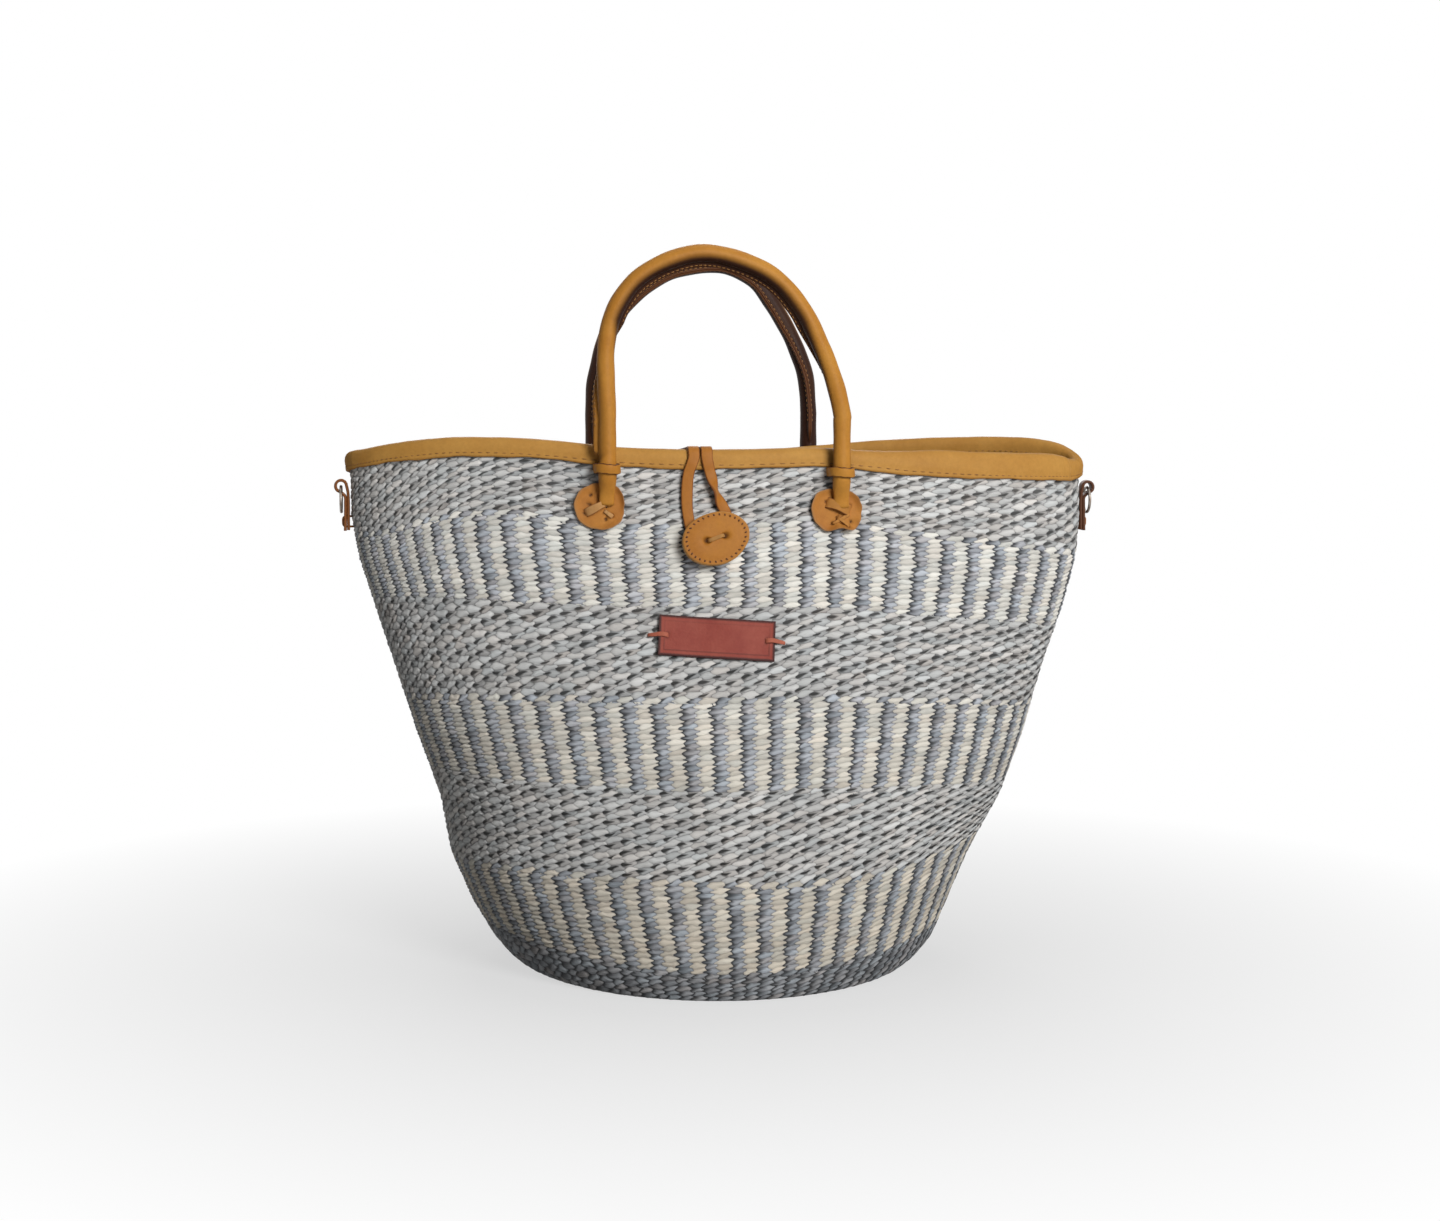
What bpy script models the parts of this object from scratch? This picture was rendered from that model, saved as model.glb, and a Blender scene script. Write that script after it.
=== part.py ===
"""Kiondo basket: a twined sisal basket on a round base, drawn out to a long oval mouth.

Its mouth is bound with leather. Two leather handles with a rope core are tied to round
leather patches and flex just above the rim. A doubled strap comes over from the back wall
and loops behind a leather button. A bare leather label and two side rings finish it.
Metres, +Z up, origin at the middle of the base's underside, -Y is the front.
"""
import math

import bmesh
import bpy
from mathutils import Matrix, Vector

# Woven body
BASE_RADIUS = 0.134
MOUTH_REACH_LEFT = 0.2235
MOUTH_REACH_RIGHT = 0.2335
MOUTH_HALF_DEPTH = 0.062
MOUTH_HEIGHT = 0.3135
MOUTH_WAVE = 0.010
WALL_THICKNESS = 0.0035
AROUND_COUNT = 48
# Height of each ring, and how far it has gone from the base radius to the mouth's reach
RING_HEIGHT_SHARES = (0.0, 0.012, 0.05, 0.12, 0.22, 0.33, 0.45, 0.58, 0.70, 0.80, 0.88, 1.0)
LEFT_REACH_SHARES = (-0.044, -0.017, 0.055, 0.193, 0.343, 0.409, 0.558, 0.702, 0.834, 0.945, 0.994, 1.0)
RIGHT_REACH_SHARES = (-0.04, -0.015, 0.055, 0.144, 0.288, 0.492, 0.636, 0.755, 0.889, 0.976, 1.0, 0.99)
DEPTH_SHARES = (0.055, 0.028, 0.0, 0.042, 0.167, 0.319, 0.472, 0.632, 0.764, 0.861, 0.931, 1.0)
# The mouth's wave, every twenty-fourth of the way round from the front towards the right
MOUTH_WAVE_SHARES = (0.20, 0.28, -0.25, -0.55, -0.68, -0.70, -0.35, 0.33, 0.69, 0.68, 0.48, -0.01,
                     -0.40, -0.40, -0.30, -0.27, -0.30, -0.35, -0.05, 0.20, 0.62, 0.95, 0.83, 0.35)

# Gap between pieces that touch
CLEARANCE = 0.0003

# Leather binding of the mouth, and its stitches
BINDING_DROP = 0.0085
BINDING_THICKNESS = 0.0018
BINDING_CROWN = 0.0014
THREAD_WIDTH = 0.0009
THREAD_THICKNESS = 0.0006
STITCH_INSET = 0.0020

# Leather laid on the woven wall, and the flat thongs that tie it there
WALL_GAP = 0.0005
THONG_WIDTH = 0.0028
THONG_THICKNESS = 0.0012
THONG_GAP = 0.0003

# Handles: a leather sleeve sewn round a rope
HANDLE_RADIUS = 0.0053
HANDLE_LEATHER = 0.0014
HANDLE_HALF_SPAN = 0.0708
HANDLE_SHIFT_LEFT = 0.0012
BACK_HANDLE_SHIFT_RIGHT = 0.0010
HANDLE_ARCH_RISE = 0.0987
HANDLE_STANDOFF = 0.0006
PIVOT_RISE = 0.0125
BEND_LENGTH = 0.018
SEAM_DEPTH = 0.0026
SEAM_THICKNESS = 0.0026
SLEEVE_SIDES = 14
LEG_SPAN_SHARE = 0.99
# Arch of each handle: share of the half span, share of the rise
FRONT_ARCH_SHARES = ((-0.99, 0.04), (-1.0, 0.25), (-1.0, 0.42), (-0.96, 0.59), (-0.87, 0.73), (-0.72, 0.855),
                     (-0.48, 0.952), (-0.20, 1.0), (0.10, 0.965), (0.41, 0.86), (0.64, 0.68), (0.823, 0.425),
                     (0.93, 0.22), (0.99, 0.04))
BACK_ARCH_SHARES = ((-0.99, 0.04), (-0.985, 0.20), (-0.945, 0.34), (-0.86, 0.55), (-0.71, 0.725),
                    (-0.50, 0.865), (-0.25, 0.959), (0.084, 1.0), (0.29, 0.975), (0.50, 0.89), (0.65, 0.75),
                    (0.80, 0.57), (0.90, 0.41), (0.965, 0.26), (0.99, 0.04))
ARCH_STEPS = 3

# Keepers round the handle's legs, just under the binding
KEEPER_HEIGHT = 0.005
KEEPER_THICKNESS = 0.0014
KEEPER_DROP = 0.0035
KEEPER_SLACK = 0.0004

# Patches, and the crossed thongs that tie the handle's tapered ends to them
PATCH_RADIUS = 0.0148
PATCH_THICKNESS = 0.0016
PATCH_DROP = 0.0340
PATCH_EDGE_SHARES = (1.0, 0.97, 1.03, 0.99, 1.02, 0.96, 1.0, 1.03,
                     0.98, 1.02, 0.97, 1.01, 0.99, 1.02, 0.98, 1.0)
TIP_RADIUS = 0.0019
TIP_RISE = 0.0030
SHOULDER_HEIGHT_SHARE = 0.55
SHOULDER_DEPTH_SHARE = 0.62
SHOULDER_RADIUS_SHARE = 0.8
LACING_HALF_WIDTH = 0.0072
LACING_HALF_HEIGHT = 0.0060

# Closure: strap from the back wall, loop behind the button
CLOSURE_SHIFT_LEFT = 0.0155
STRAND_WIDTH = 0.0068
STRAND_SPACING = 0.0120
STRAP_THICKNESS = 0.0017
TAIL_LENGTH = 0.028
TAIL_TIE_INSET = 0.004

# Button, on a thong that runs through the wall to a knot inside
BUTTON_SHIFT_LEFT = 0.0078
BUTTON_DROP = 0.049
BUTTON_HALF_LENGTH = 0.0202
BUTTON_HALF_HEIGHT = 0.0157
BUTTON_ANGLE = 15.0
BUTTON_SIDES = 28
BUTTON_LEATHER = 0.0014
BUTTON_CORE = 0.0020
BUTTON_CORE_SHARE = 0.93
BUTTON_HOLE_SPACING = 0.0112
STEM_RADIUS = 0.0019
KNOT_RADIUS = 0.0040
KNOT_LENGTH = 0.0030

# Bare label straight below the button, and its two end ties
LABEL_DROP = 0.0575
LABEL_LENGTH = 0.069
LABEL_WIDTH = 0.0235
LABEL_THICKNESS = 0.0015
LABEL_ANGLE = -4.0
LABEL_STEPS = 6
LABEL_INNER_SHARE = 0.5
LABEL_TIE_SPAN = 0.0085
LABEL_TIE_INSET = 0.0030

# Side rings in their leather tabs
RING_RADIUS = 0.0078
RING_WIRE_RADIUS = 0.0009
TAB_WIDTH = 0.0080
TAB_THICKNESS = 0.0017
TAB_EYE_RADIUS = 0.0025
TAB_EYE_SIDES = 12
TAB_TAIL_LENGTH = 0.0268
TAB_TOP_DROP = 0.0180
TAB_TIE_SPAN = 0.0062
TAB_TIE_INSET = 0.0052
TAB_TIE_SINK = 0.0020

# Colours: red, green, blue of each finish
TAN_LEATHER = (0.50, 0.235, 0.055)
BINDING_LEATHER = (0.47, 0.235, 0.075)
LABEL_LEATHER = (0.35, 0.12, 0.09)
SISAL_GREY = (0.36, 0.36, 0.35)
ROPE_FIBRE = (0.52, 0.42, 0.27)
DARK_THREAD = (0.055, 0.030, 0.020)
RING_STEEL = (0.55, 0.54, 0.52)

BEND_STEPS = 6
SMOOTH_ANGLE = 40.0
ROUNDING = 1e-9

LEFT, RIGHT = -1.0, 1.0
FRONT, BACK = -1.0, 1.0
SIDES = (("left", LEFT), ("right", RIGHT))
WALLS = (("front", FRONT), ("back", BACK))
LEVEL = Vector((1, 0, 0))
UPRIGHT = Vector((0, 0, 1))

# Worked out from the sizes above
CLOSURE_X = -CLOSURE_SHIFT_LEFT
BUTTON_X = -BUTTON_SHIFT_LEFT
BUTTON_HEIGHT = MOUTH_HEIGHT - BUTTON_DROP
LABEL_HEIGHT = BUTTON_HEIGHT - LABEL_DROP
PIVOT_HEIGHT = MOUTH_HEIGHT + PIVOT_RISE
LEG_STANDOFF = CLEARANCE + BINDING_THICKNESS + HANDLE_STANDOFF + SEAM_DEPTH + HANDLE_RADIUS
CROWN_SLOPE = math.atan(BINDING_CROWN / (WALL_THICKNESS / 2 + CLEARANCE))
BINDING_RISE = CLEARANCE + BINDING_CROWN + BINDING_THICKNESS / math.cos(CROWN_SLOPE)


def clear_scene():
    for thing in list(bpy.data.objects):
        bpy.data.objects.remove(thing, do_unlink=True)


def new_collection(name):
    collection = bpy.data.collections.new(name)
    bpy.context.scene.collection.children.link(collection)
    return collection


def finish(name, colour, roughness, metallic=0.0):
    material = bpy.data.materials.new(name)
    material.use_nodes = True
    shader = material.node_tree.nodes["Principled BSDF"]
    shader.inputs["Base Color"].default_value = (*colour, 1.0)
    shader.inputs["Roughness"].default_value = roughness
    shader.inputs["Metallic"].default_value = metallic
    return material


def place(thing, material=None):
    """Links a piece to the parts, or a thing without a material to the cutters."""
    (PARTS if material else CUTTERS).objects.link(thing)
    if material:
        thing.data.materials.append(material)
    else:
        thing.hide_render = True
        thing.display_type = "WIRE"
    return thing


def from_bmesh(name, shape, material=None):
    mesh = bpy.data.meshes.new(name)
    shape.to_mesh(mesh)
    shape.free()
    return place(bpy.data.objects.new(name, mesh), material)


def smooth(thing):
    thing.data.shade_smooth()
    thing.data.set_sharp_from_angle(angle=math.radians(SMOOTH_ANGLE))


def thicken(thing, thickness, offset):
    shell = thing.modifiers.new("thickness", "SOLIDIFY")
    shell.thickness = thickness
    shell.offset = offset
    shell.use_even_offset = True


def cut(thing, cutter):
    opening = thing.modifiers.new("cut " + cutter.name, "BOOLEAN")
    opening.operation = "DIFFERENCE"
    opening.object = cutter


def mix(low, high, share):
    return low + (high - low) * share


def curve_between(before, start, end, after, share):
    """Point at a share of the way from start to end on a smooth curve through all four."""
    return 0.5 * (2 * start + (end - before) * share + (2 * before - 5 * start + 4 * end - after) * share ** 2
                  + (3 * start - before - 3 * end + after) * share ** 3)


def smooth_route(points, steps):
    """Points along a smooth curve through all the given points, its ends as given."""
    padded = [points[0] * 2 - points[1], *points, points[-1] * 2 - points[-2]]
    route = []
    for corners in zip(padded, padded[1:], padded[2:], padded[3:]):
        route += [curve_between(*corners, step / steps) for step in range(steps)]
    return [*route, points[-1]]


# Shape of the basket: turn 0 is the front, a quarter turn the right-hand end

def edge_height(turn):
    """Height of the woven wall's upper edge, straight between the rings' corners."""
    corner = turn / math.tau * AROUND_COUNT
    low = math.floor(corner + ROUNDING)
    heights = []
    for place_share in (low / AROUND_COUNT, (low + 1) / AROUND_COUNT):
        index, share = divmod(place_share % 1.0 * len(MOUTH_WAVE_SHARES), 1)
        waves = [MOUTH_WAVE_SHARES[(int(index) + step) % len(MOUTH_WAVE_SHARES)] for step in (-1, 0, 1, 2)]
        heights.append(MOUTH_HEIGHT + MOUTH_WAVE * curve_between(*waves, share))
    return mix(*heights, corner - low)


def section(height_share):
    """Left reach, right reach and half depth of the outer wall at a share of its height."""
    heights = RING_HEIGHT_SHARES
    last = len(heights) - 2
    index = next(place for place in range(last + 1) if height_share <= heights[place + 1] or place == last)
    share = (height_share - heights[index]) / (heights[index + 1] - heights[index])
    sizes = []
    for reach, shares in ((MOUTH_REACH_LEFT, LEFT_REACH_SHARES), (MOUTH_REACH_RIGHT, RIGHT_REACH_SHARES),
                          (MOUTH_HALF_DEPTH, DEPTH_SHARES)):
        sizes.append(mix(BASE_RADIUS, reach, mix(shares[index], shares[index + 1], share)))
    return sizes


def corner_point(corner, height_share):
    turn = corner * math.tau / AROUND_COUNT
    left, right, depth = section(height_share)
    reach = right if math.sin(turn) > 0 else left
    return Vector((reach * math.sin(turn), -depth * math.cos(turn), height_share * edge_height(turn)))


def wall_point(turn, height):
    """Point of the outer wall at a turn and a height, on its flat facets."""
    share = height / edge_height(turn)
    corner = turn / math.tau * AROUND_COUNT
    low = math.floor(corner + ROUNDING)
    point = corner_point(low, share).lerp(corner_point(low + 1, share), corner - low)
    point.z = height
    return point


def turn_at(x, height, wall):
    """Turn at which the front or back wall has the given x."""
    low, high = -math.pi / 2, math.pi / 2
    while high - low > ROUNDING:
        middle = (low + high) / 2
        if wall_point(middle, height).x < x:
            low = middle
        else:
            high = middle
    return low if wall == FRONT else math.pi - low


def wall_depth(x, height, wall):
    """How far the outer wall stands from the middle plane, as a positive length."""
    return abs(wall_point(turn_at(x, height, wall), height).y)


def on_wall(x, height, wall, standoff):
    return Vector((x, wall * (wall_depth(x, height, wall) + standoff), height))


def wall_frame(x, height, wall):
    """Point of the outer wall, with the level, the rising and the outward direction there."""
    reach = WALL_THICKNESS
    level = on_wall(x + reach, height, wall, 0.0) - on_wall(x - reach, height, wall, 0.0)
    rising = on_wall(x, height + reach, wall, 0.0) - on_wall(x, height - reach, wall, 0.0)
    normal = level.cross(rising).normalized() * -wall
    return on_wall(x, height, wall, 0.0), level.normalized(), rising.normalized(), normal


def outward(turn):
    """Level direction square to the wall at the binding's lower edge."""
    step = math.tau / AROUND_COUNT / 8
    height = edge_height(turn) - BINDING_DROP
    along = wall_point(turn + step, height) - wall_point(turn - step, height)
    return Vector((along.y, -along.x, 0.0)).normalized()


# Building blocks

def skin(name, rows, material, closed=False, capped=False):
    """Surface through rows of points. A closed one joins its last row to its first."""
    shape = bmesh.new()
    corners = [[shape.verts.new(point) for point in row] for row in rows]
    if capped:
        shape.faces.new(reversed(corners[0]))
    if closed:
        corners.append(corners[0])
    for low, high in zip(corners, corners[1:]):
        count = len(low)
        for index in range(count if capped else count - 1):
            after = (index + 1) % count
            shape.faces.new((low[index], low[after], high[after], high[index]))
    return from_bmesh(name, shape, material)


def ribbon(name, points, across, width, thickness, material, closed=False):
    """Flat strip along the points, as wide as width on the across directions."""
    sideways = across if isinstance(across, list) else [across] * len(points)
    rows = [(point - side * (width / 2), point + side * (width / 2)) for point, side in zip(points, sideways)]
    strip = skin(name, rows, material, closed=closed)
    thicken(strip, thickness, 0.0)
    return strip


def tube(name, points, radius, material=None, radii=()):
    """Round rod along the points: a curve with a bevel and filled caps."""
    data = bpy.data.curves.new(name, "CURVE")
    data.dimensions = "3D"
    data.bevel_depth = radius
    data.bevel_resolution = 2
    data.use_fill_caps = True
    data.twist_mode = "MINIMUM"
    spline = data.splines.new("POLY")
    spline.points.add(len(points) - 1)
    for index, point in enumerate(points):
        spline.points[index].co = (*point, 1.0)
        spline.points[index].radius = radii[index] / radius if radii else 1.0
    return place(bpy.data.objects.new(name, data), material)


def flat_outlines(name, outlines, material=None):
    """Flat curve of closed outlines in its own XY plane; inner ones are holes."""
    data = bpy.data.curves.new(name, "CURVE")
    data.dimensions = "2D"
    data.fill_mode = "BOTH"
    for outline in outlines:
        spline = data.splines.new("POLY")
        spline.points.add(len(outline) - 1)
        for index, (across, up) in enumerate(outline):
            spline.points[index].co = (across, up, 0.0, 1.0)
        spline.use_cyclic_u = True
    return place(bpy.data.objects.new(name, data), material)


def oval(half_length, half_height, sides):
    turns = [math.tau * index / sides for index in range(sides)]
    return [(half_length * math.cos(turn), half_height * math.sin(turn)) for turn in turns]


def to_mesh(thing, material=None):
    """Replaces a piece by a plain mesh of the same name and place, with its caps welded."""
    name = thing.name
    matrix = thing.matrix_world.copy()
    bpy.context.view_layer.update()
    mesh = bpy.data.meshes.new_from_object(thing.evaluated_get(bpy.context.evaluated_depsgraph_get()))
    shape = bmesh.new()
    shape.from_mesh(mesh)
    bmesh.ops.remove_doubles(shape, verts=shape.verts, dist=CLEARANCE / 100)
    bmesh.ops.recalc_face_normals(shape, faces=shape.faces)
    bpy.data.objects.remove(thing, do_unlink=True)
    solid = from_bmesh(name, shape, material)
    solid.matrix_world = matrix
    return solid


def plate(name, outlines, thickness, matrix, material):
    """Flat plate of the outlines, placed by a matrix whose Z is its thickness."""
    flat = flat_outlines(name, outlines, material)
    flat.data.extrude = thickness / 2
    flat.matrix_world = matrix
    return to_mesh(flat, material)


def frame_matrix(centre, along, up, normal):
    """Placing matrix whose X, Y and Z are the three directions given."""
    matrix = Matrix((along, up, normal)).transposed().to_4x4()
    matrix.translation = centre
    return matrix


def slot_cutter(name, legs, along, across, size, start, end, direction):
    """Box cutters round each leg point, from start to end along a direction."""
    shape = bmesh.new()
    scale = Matrix.Diagonal((*size, end - start, 1.0))
    for leg in legs:
        matrix = frame_matrix(leg + direction * ((start + end) / 2), along, across, direction)
        bmesh.ops.create_cube(shape, size=1.0, matrix=matrix @ scale)
    bmesh.ops.recalc_face_normals(shape, faces=shape.faces)
    return from_bmesh("slots " + name, shape)


def tie(name, centre, along, direction, span, rise, sink):
    """Flat thong tied through the wall: out along one leg, across, and back along the other.

    The centre lies on the outer wall. Mid-thong, its outer run is rise outside it and its
    inner run is sink inside it. Returns the thong and the cutter of its two slots."""
    half = span / 2
    corner = THONG_THICKNESS
    outline = ((-half, corner - sink), (-half, rise - corner), (corner - half, rise), (half - corner, rise),
               (half, rise - corner), (half, corner - sink), (half - corner, -sink), (corner - half, -sink))
    points = [centre + along * run + direction * out for run, out in outline]
    across = along.cross(direction).normalized()
    thong = ribbon(name, points, across, THONG_WIDTH, THONG_THICKNESS, TAN, closed=True)
    size = (THONG_THICKNESS + 2 * THONG_GAP, THONG_WIDTH + 2 * THONG_GAP)
    legs = (centre + along * half, centre - along * half)
    return thong, slot_cutter(name, legs, along, across, size, -2 * sink, 2 * rise, direction)


def union(name, things):
    """Fuses overlapping solids into one by Boolean unions, and removes what it was made of."""
    whole = things[0]
    for thing in things[1:]:
        fuse = whole.modifiers.new("with " + thing.name, "BOOLEAN")
        fuse.operation = "UNION"
        fuse.object = thing
    bpy.context.view_layer.update()
    mesh = bpy.data.meshes.new_from_object(whole.evaluated_get(bpy.context.evaluated_depsgraph_get()))
    mesh.transform(whole.matrix_world)
    material = whole.data.materials[0]
    mesh.materials.clear()
    for thing in things:
        bpy.data.objects.remove(thing, do_unlink=True)
    return place(bpy.data.objects.new(name, mesh), material)


def hinge(name, point, names):
    """Empty on a joint's axis, the parent of the pieces that turn about it."""
    empty = bpy.data.objects.new(name + " hinge", None)
    empty.location = point
    PARTS.objects.link(empty)
    bpy.context.view_layer.update()
    for child_name in names:
        child = bpy.data.objects[child_name]
        child.parent = empty
        child.matrix_parent_inverse = empty.matrix_world.inverted()
    return empty


# Woven body and its binding

def make_body():
    rows = [[corner_point(corner, height_share) for corner in range(AROUND_COUNT)]
            for height_share in RING_HEIGHT_SHARES]
    body = skin("woven_body", rows, SISAL, capped=True)
    thicken(body, WALL_THICKNESS, -1.0)
    body.modifiers.new("flat facets", "TRIANGULATE")
    smooth(body)
    return body


def make_binding():
    """Strip folded over the wall's upper edge: outer fall, crown and inner fall."""
    inner = -(WALL_THICKNESS + CLEARANCE)
    rows = []
    for corner in range(AROUND_COUNT + 1):
        turn = corner % AROUND_COUNT * math.tau / AROUND_COUNT
        top = edge_height(turn)
        low = top - BINDING_DROP
        shoulder = top + CLEARANCE
        low_face = wall_point(turn, low)
        top_face = wall_point(turn, top)
        row = []
        for face, distance, height in ((low_face, CLEARANCE, low), (top_face, CLEARANCE, shoulder),
                                       (top_face, -WALL_THICKNESS / 2, shoulder + BINDING_CROWN),
                                       (top_face, inner, shoulder), (low_face, inner, low)):
            point = face + outward(turn) * distance
            point.z = height
            row.append(point)
        rows.append(row)
    binding = skin("rim_binding", rows[:-1], BINDING, closed=True)
    for face in binding.data.polygons:
        face.flip()
    thicken(binding, BINDING_THICKNESS, 1.0)
    smooth(binding)


def make_stitching():
    """The sewing thread along the binding's lower edge, as one thin line round the basket."""
    standoff = CLEARANCE * 2 + BINDING_THICKNESS + THREAD_THICKNESS / 2
    points = []
    for corner in range(AROUND_COUNT):
        turn = corner * math.tau / AROUND_COUNT
        height = edge_height(turn) - BINDING_DROP + STITCH_INSET
        points.append(wall_point(turn, height) + outward(turn) * standoff)
    ribbon("rim_stitching", points, UPRIGHT, THREAD_WIDTH, THREAD_THICKNESS, THREAD, closed=True)


# Handles

def handle_middle(wall):
    return -HANDLE_SHIFT_LEFT if wall == FRONT else BACK_HANDLE_SHIFT_RIGHT


def leg_x(side, wall):
    return handle_middle(wall) + side * HANDLE_HALF_SPAN * LEG_SPAN_SHARE


def leg_y(wall):
    depths = [wall_depth(leg_x(side, wall), MOUTH_HEIGHT, wall) for _, side in SIDES]
    return wall * (max(depths) + LEG_STANDOFF)


def leg_edge_height(side, wall):
    return edge_height(turn_at(leg_x(side, wall), MOUTH_HEIGHT, wall))


def keeper_height(side, wall):
    return leg_edge_height(side, wall) - BINDING_DROP - KEEPER_DROP


def patch_height(side, wall):
    return leg_edge_height(side, wall) - PATCH_DROP


def handle_pivot(wall):
    """Middle of the flexing stretch, on the leg's outer face, where the handle folds over."""
    return Vector((0.0, leg_y(wall) + wall * HANDLE_RADIUS, PIVOT_HEIGHT))


def arch_route(wall):
    foot = PIVOT_HEIGHT + BEND_LENGTH / 2
    corners = []
    for across, up in FRONT_ARCH_SHARES if wall == FRONT else BACK_ARCH_SHARES:
        x = handle_middle(wall) + HANDLE_HALF_SPAN * across
        corners.append(Vector((x, leg_y(wall), foot + HANDLE_ARCH_RISE * up)))
    feet = [Vector((corner.x, corner.y, foot)) for corner in (corners[0], corners[-1])]
    return [feet[0], *smooth_route(corners, ARCH_STEPS), feet[1]]


def sleeve_outline(wall):
    """A round tube with the two sewn edges standing out as a fin on the mouth's side."""
    half_angle = math.asin(SEAM_THICKNESS / 2 / HANDLE_RADIUS)
    shares = [index / SLEEVE_SIDES for index in range(SLEEVE_SIDES + 1)]
    turns = [mix(half_angle, math.tau - half_angle, share) for share in shares]
    outline = [(HANDLE_RADIUS * math.sin(turn), wall * HANDLE_RADIUS * math.cos(turn)) for turn in turns]
    tip = wall * (HANDLE_RADIUS + SEAM_DEPTH)
    outline += [(-SEAM_THICKNESS / 2, tip), (SEAM_THICKNESS / 2, tip)]
    return outline if wall == BACK else outline[::-1]


def make_handle(word, wall):
    route = arch_route(wall)
    bore_radius = HANDLE_RADIUS - HANDLE_LEATHER
    sleeve = tube(word + "_handle_cover", route, HANDLE_RADIUS, TAN)
    sleeve.data.bevel_mode = "OBJECT"
    sleeve.data.bevel_object = flat_outlines("sleeve profile", [sleeve_outline(wall)])
    cover = to_mesh(sleeve, TAN)
    ends = [Vector((end.x, end.y, end.z - HANDLE_RADIUS)) for end in (route[0], route[-1])]
    cut(cover, to_mesh(tube("bore " + word + " handle", [ends[0], *route, ends[1]], bore_radius)))
    smooth(cover)
    tube(word + "_handle_core", route, bore_radius - CLEARANCE, ROPE)


def make_leg(name, wall, side):
    """The flexing stretch above the keeper, and the held end that is laced to its patch."""
    x, y = leg_x(side, wall), leg_y(wall)
    top = PIVOT_HEIGHT + BEND_LENGTH / 2 - CLEARANCE
    bottom = PIVOT_HEIGHT - BEND_LENGTH / 2
    tube(name + "_handle_bend", [Vector((x, y, height)) for height in (bottom, PIVOT_HEIGHT, top)],
         HANDLE_RADIUS, TAN)
    tip_height = patch_height(side, wall) + TIP_RISE
    tip = on_wall(x, tip_height, wall, 2 * WALL_GAP + PATCH_THICKNESS + TIP_RADIUS)
    shoulder_height = mix(tip_height, keeper_height(side, wall), SHOULDER_HEIGHT_SHARE)
    shoulder = Vector((x, mix(tip.y, y, SHOULDER_DEPTH_SHARE), shoulder_height))
    knee = Vector((x, y, keeper_height(side, wall) - KEEPER_HEIGHT / 2))
    shoulder_radius = mix(TIP_RADIUS, HANDLE_RADIUS, SHOULDER_RADIUS_SHARE)
    tube(name + "_handle_end", [Vector((x, y, bottom - CLEARANCE)), knee, shoulder, tip], HANDLE_RADIUS, TAN,
         radii=(HANDLE_RADIUS, HANDLE_RADIUS, shoulder_radius, TIP_RADIUS))


def make_keeper(name, wall, side):
    """Strip that passes round the leg and through two slots, and closes inside the wall."""
    x, y, height = leg_x(side, wall), leg_y(wall), keeper_height(side, wall)
    bend = HANDLE_RADIUS + KEEPER_SLACK + KEEPER_THICKNESS / 2
    depth = wall_depth(x, height, wall)
    inside = wall * (depth - WALL_THICKNESS - KEEPER_THICKNESS - KEEPER_SLACK)
    turns = [math.pi * step / BEND_STEPS for step in range(BEND_STEPS + 1)]
    points = [Vector((x - bend * math.cos(turn), y + wall * bend * math.sin(turn), height)) for turn in turns]
    points = [Vector((x - bend, inside, height)), *points, Vector((x + bend, inside, height))]
    ribbon(name + "_keeper", points, UPRIGHT, KEEPER_HEIGHT, KEEPER_THICKNESS, TAN, closed=True)
    legs = [Vector((x + step * bend, wall * depth, height)) for step in (LEFT, RIGHT)]
    size = (KEEPER_THICKNESS + 2 * THONG_GAP, KEEPER_HEIGHT + 2 * THONG_GAP)
    return slot_cutter(name + " keeper", legs, LEVEL, UPRIGHT, size, -2 * WALL_THICKNESS, WALL_THICKNESS,
                       Vector((0, wall, 0)))


def wall_sheet(name, outlines, centre_x, centre_height, tilt, wall, thickness, material):
    """Sheet of leather that follows the wall: nested outlines laid on it, then thickened."""
    turn = math.radians(tilt)
    shape = bmesh.new()
    loops = []
    for outline in outlines:
        loop = []
        for across, up in outline:
            x = centre_x + across * math.cos(turn) - up * math.sin(turn)
            height = centre_height + across * math.sin(turn) + up * math.cos(turn)
            loop.append(shape.verts.new(on_wall(x, height, wall, WALL_GAP)))
        loops.append([*loop, loop[0]])
    for outer, inner in zip(loops, loops[1:]):
        for index in range(len(outer) - 1):
            shape.faces.new((outer[index], outer[index + 1], inner[index + 1], inner[index]))
    centre = shape.verts.new(on_wall(centre_x, centre_height, wall, WALL_GAP))
    for start, end in zip(loops[-1], loops[-1][1:]):
        shape.faces.new((start, end, centre))
    if wall == BACK:
        bmesh.ops.reverse_faces(shape, faces=shape.faces)
    sheet = from_bmesh(name, shape, material)
    thicken(sheet, thickness, 1.0)
    return sheet


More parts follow.
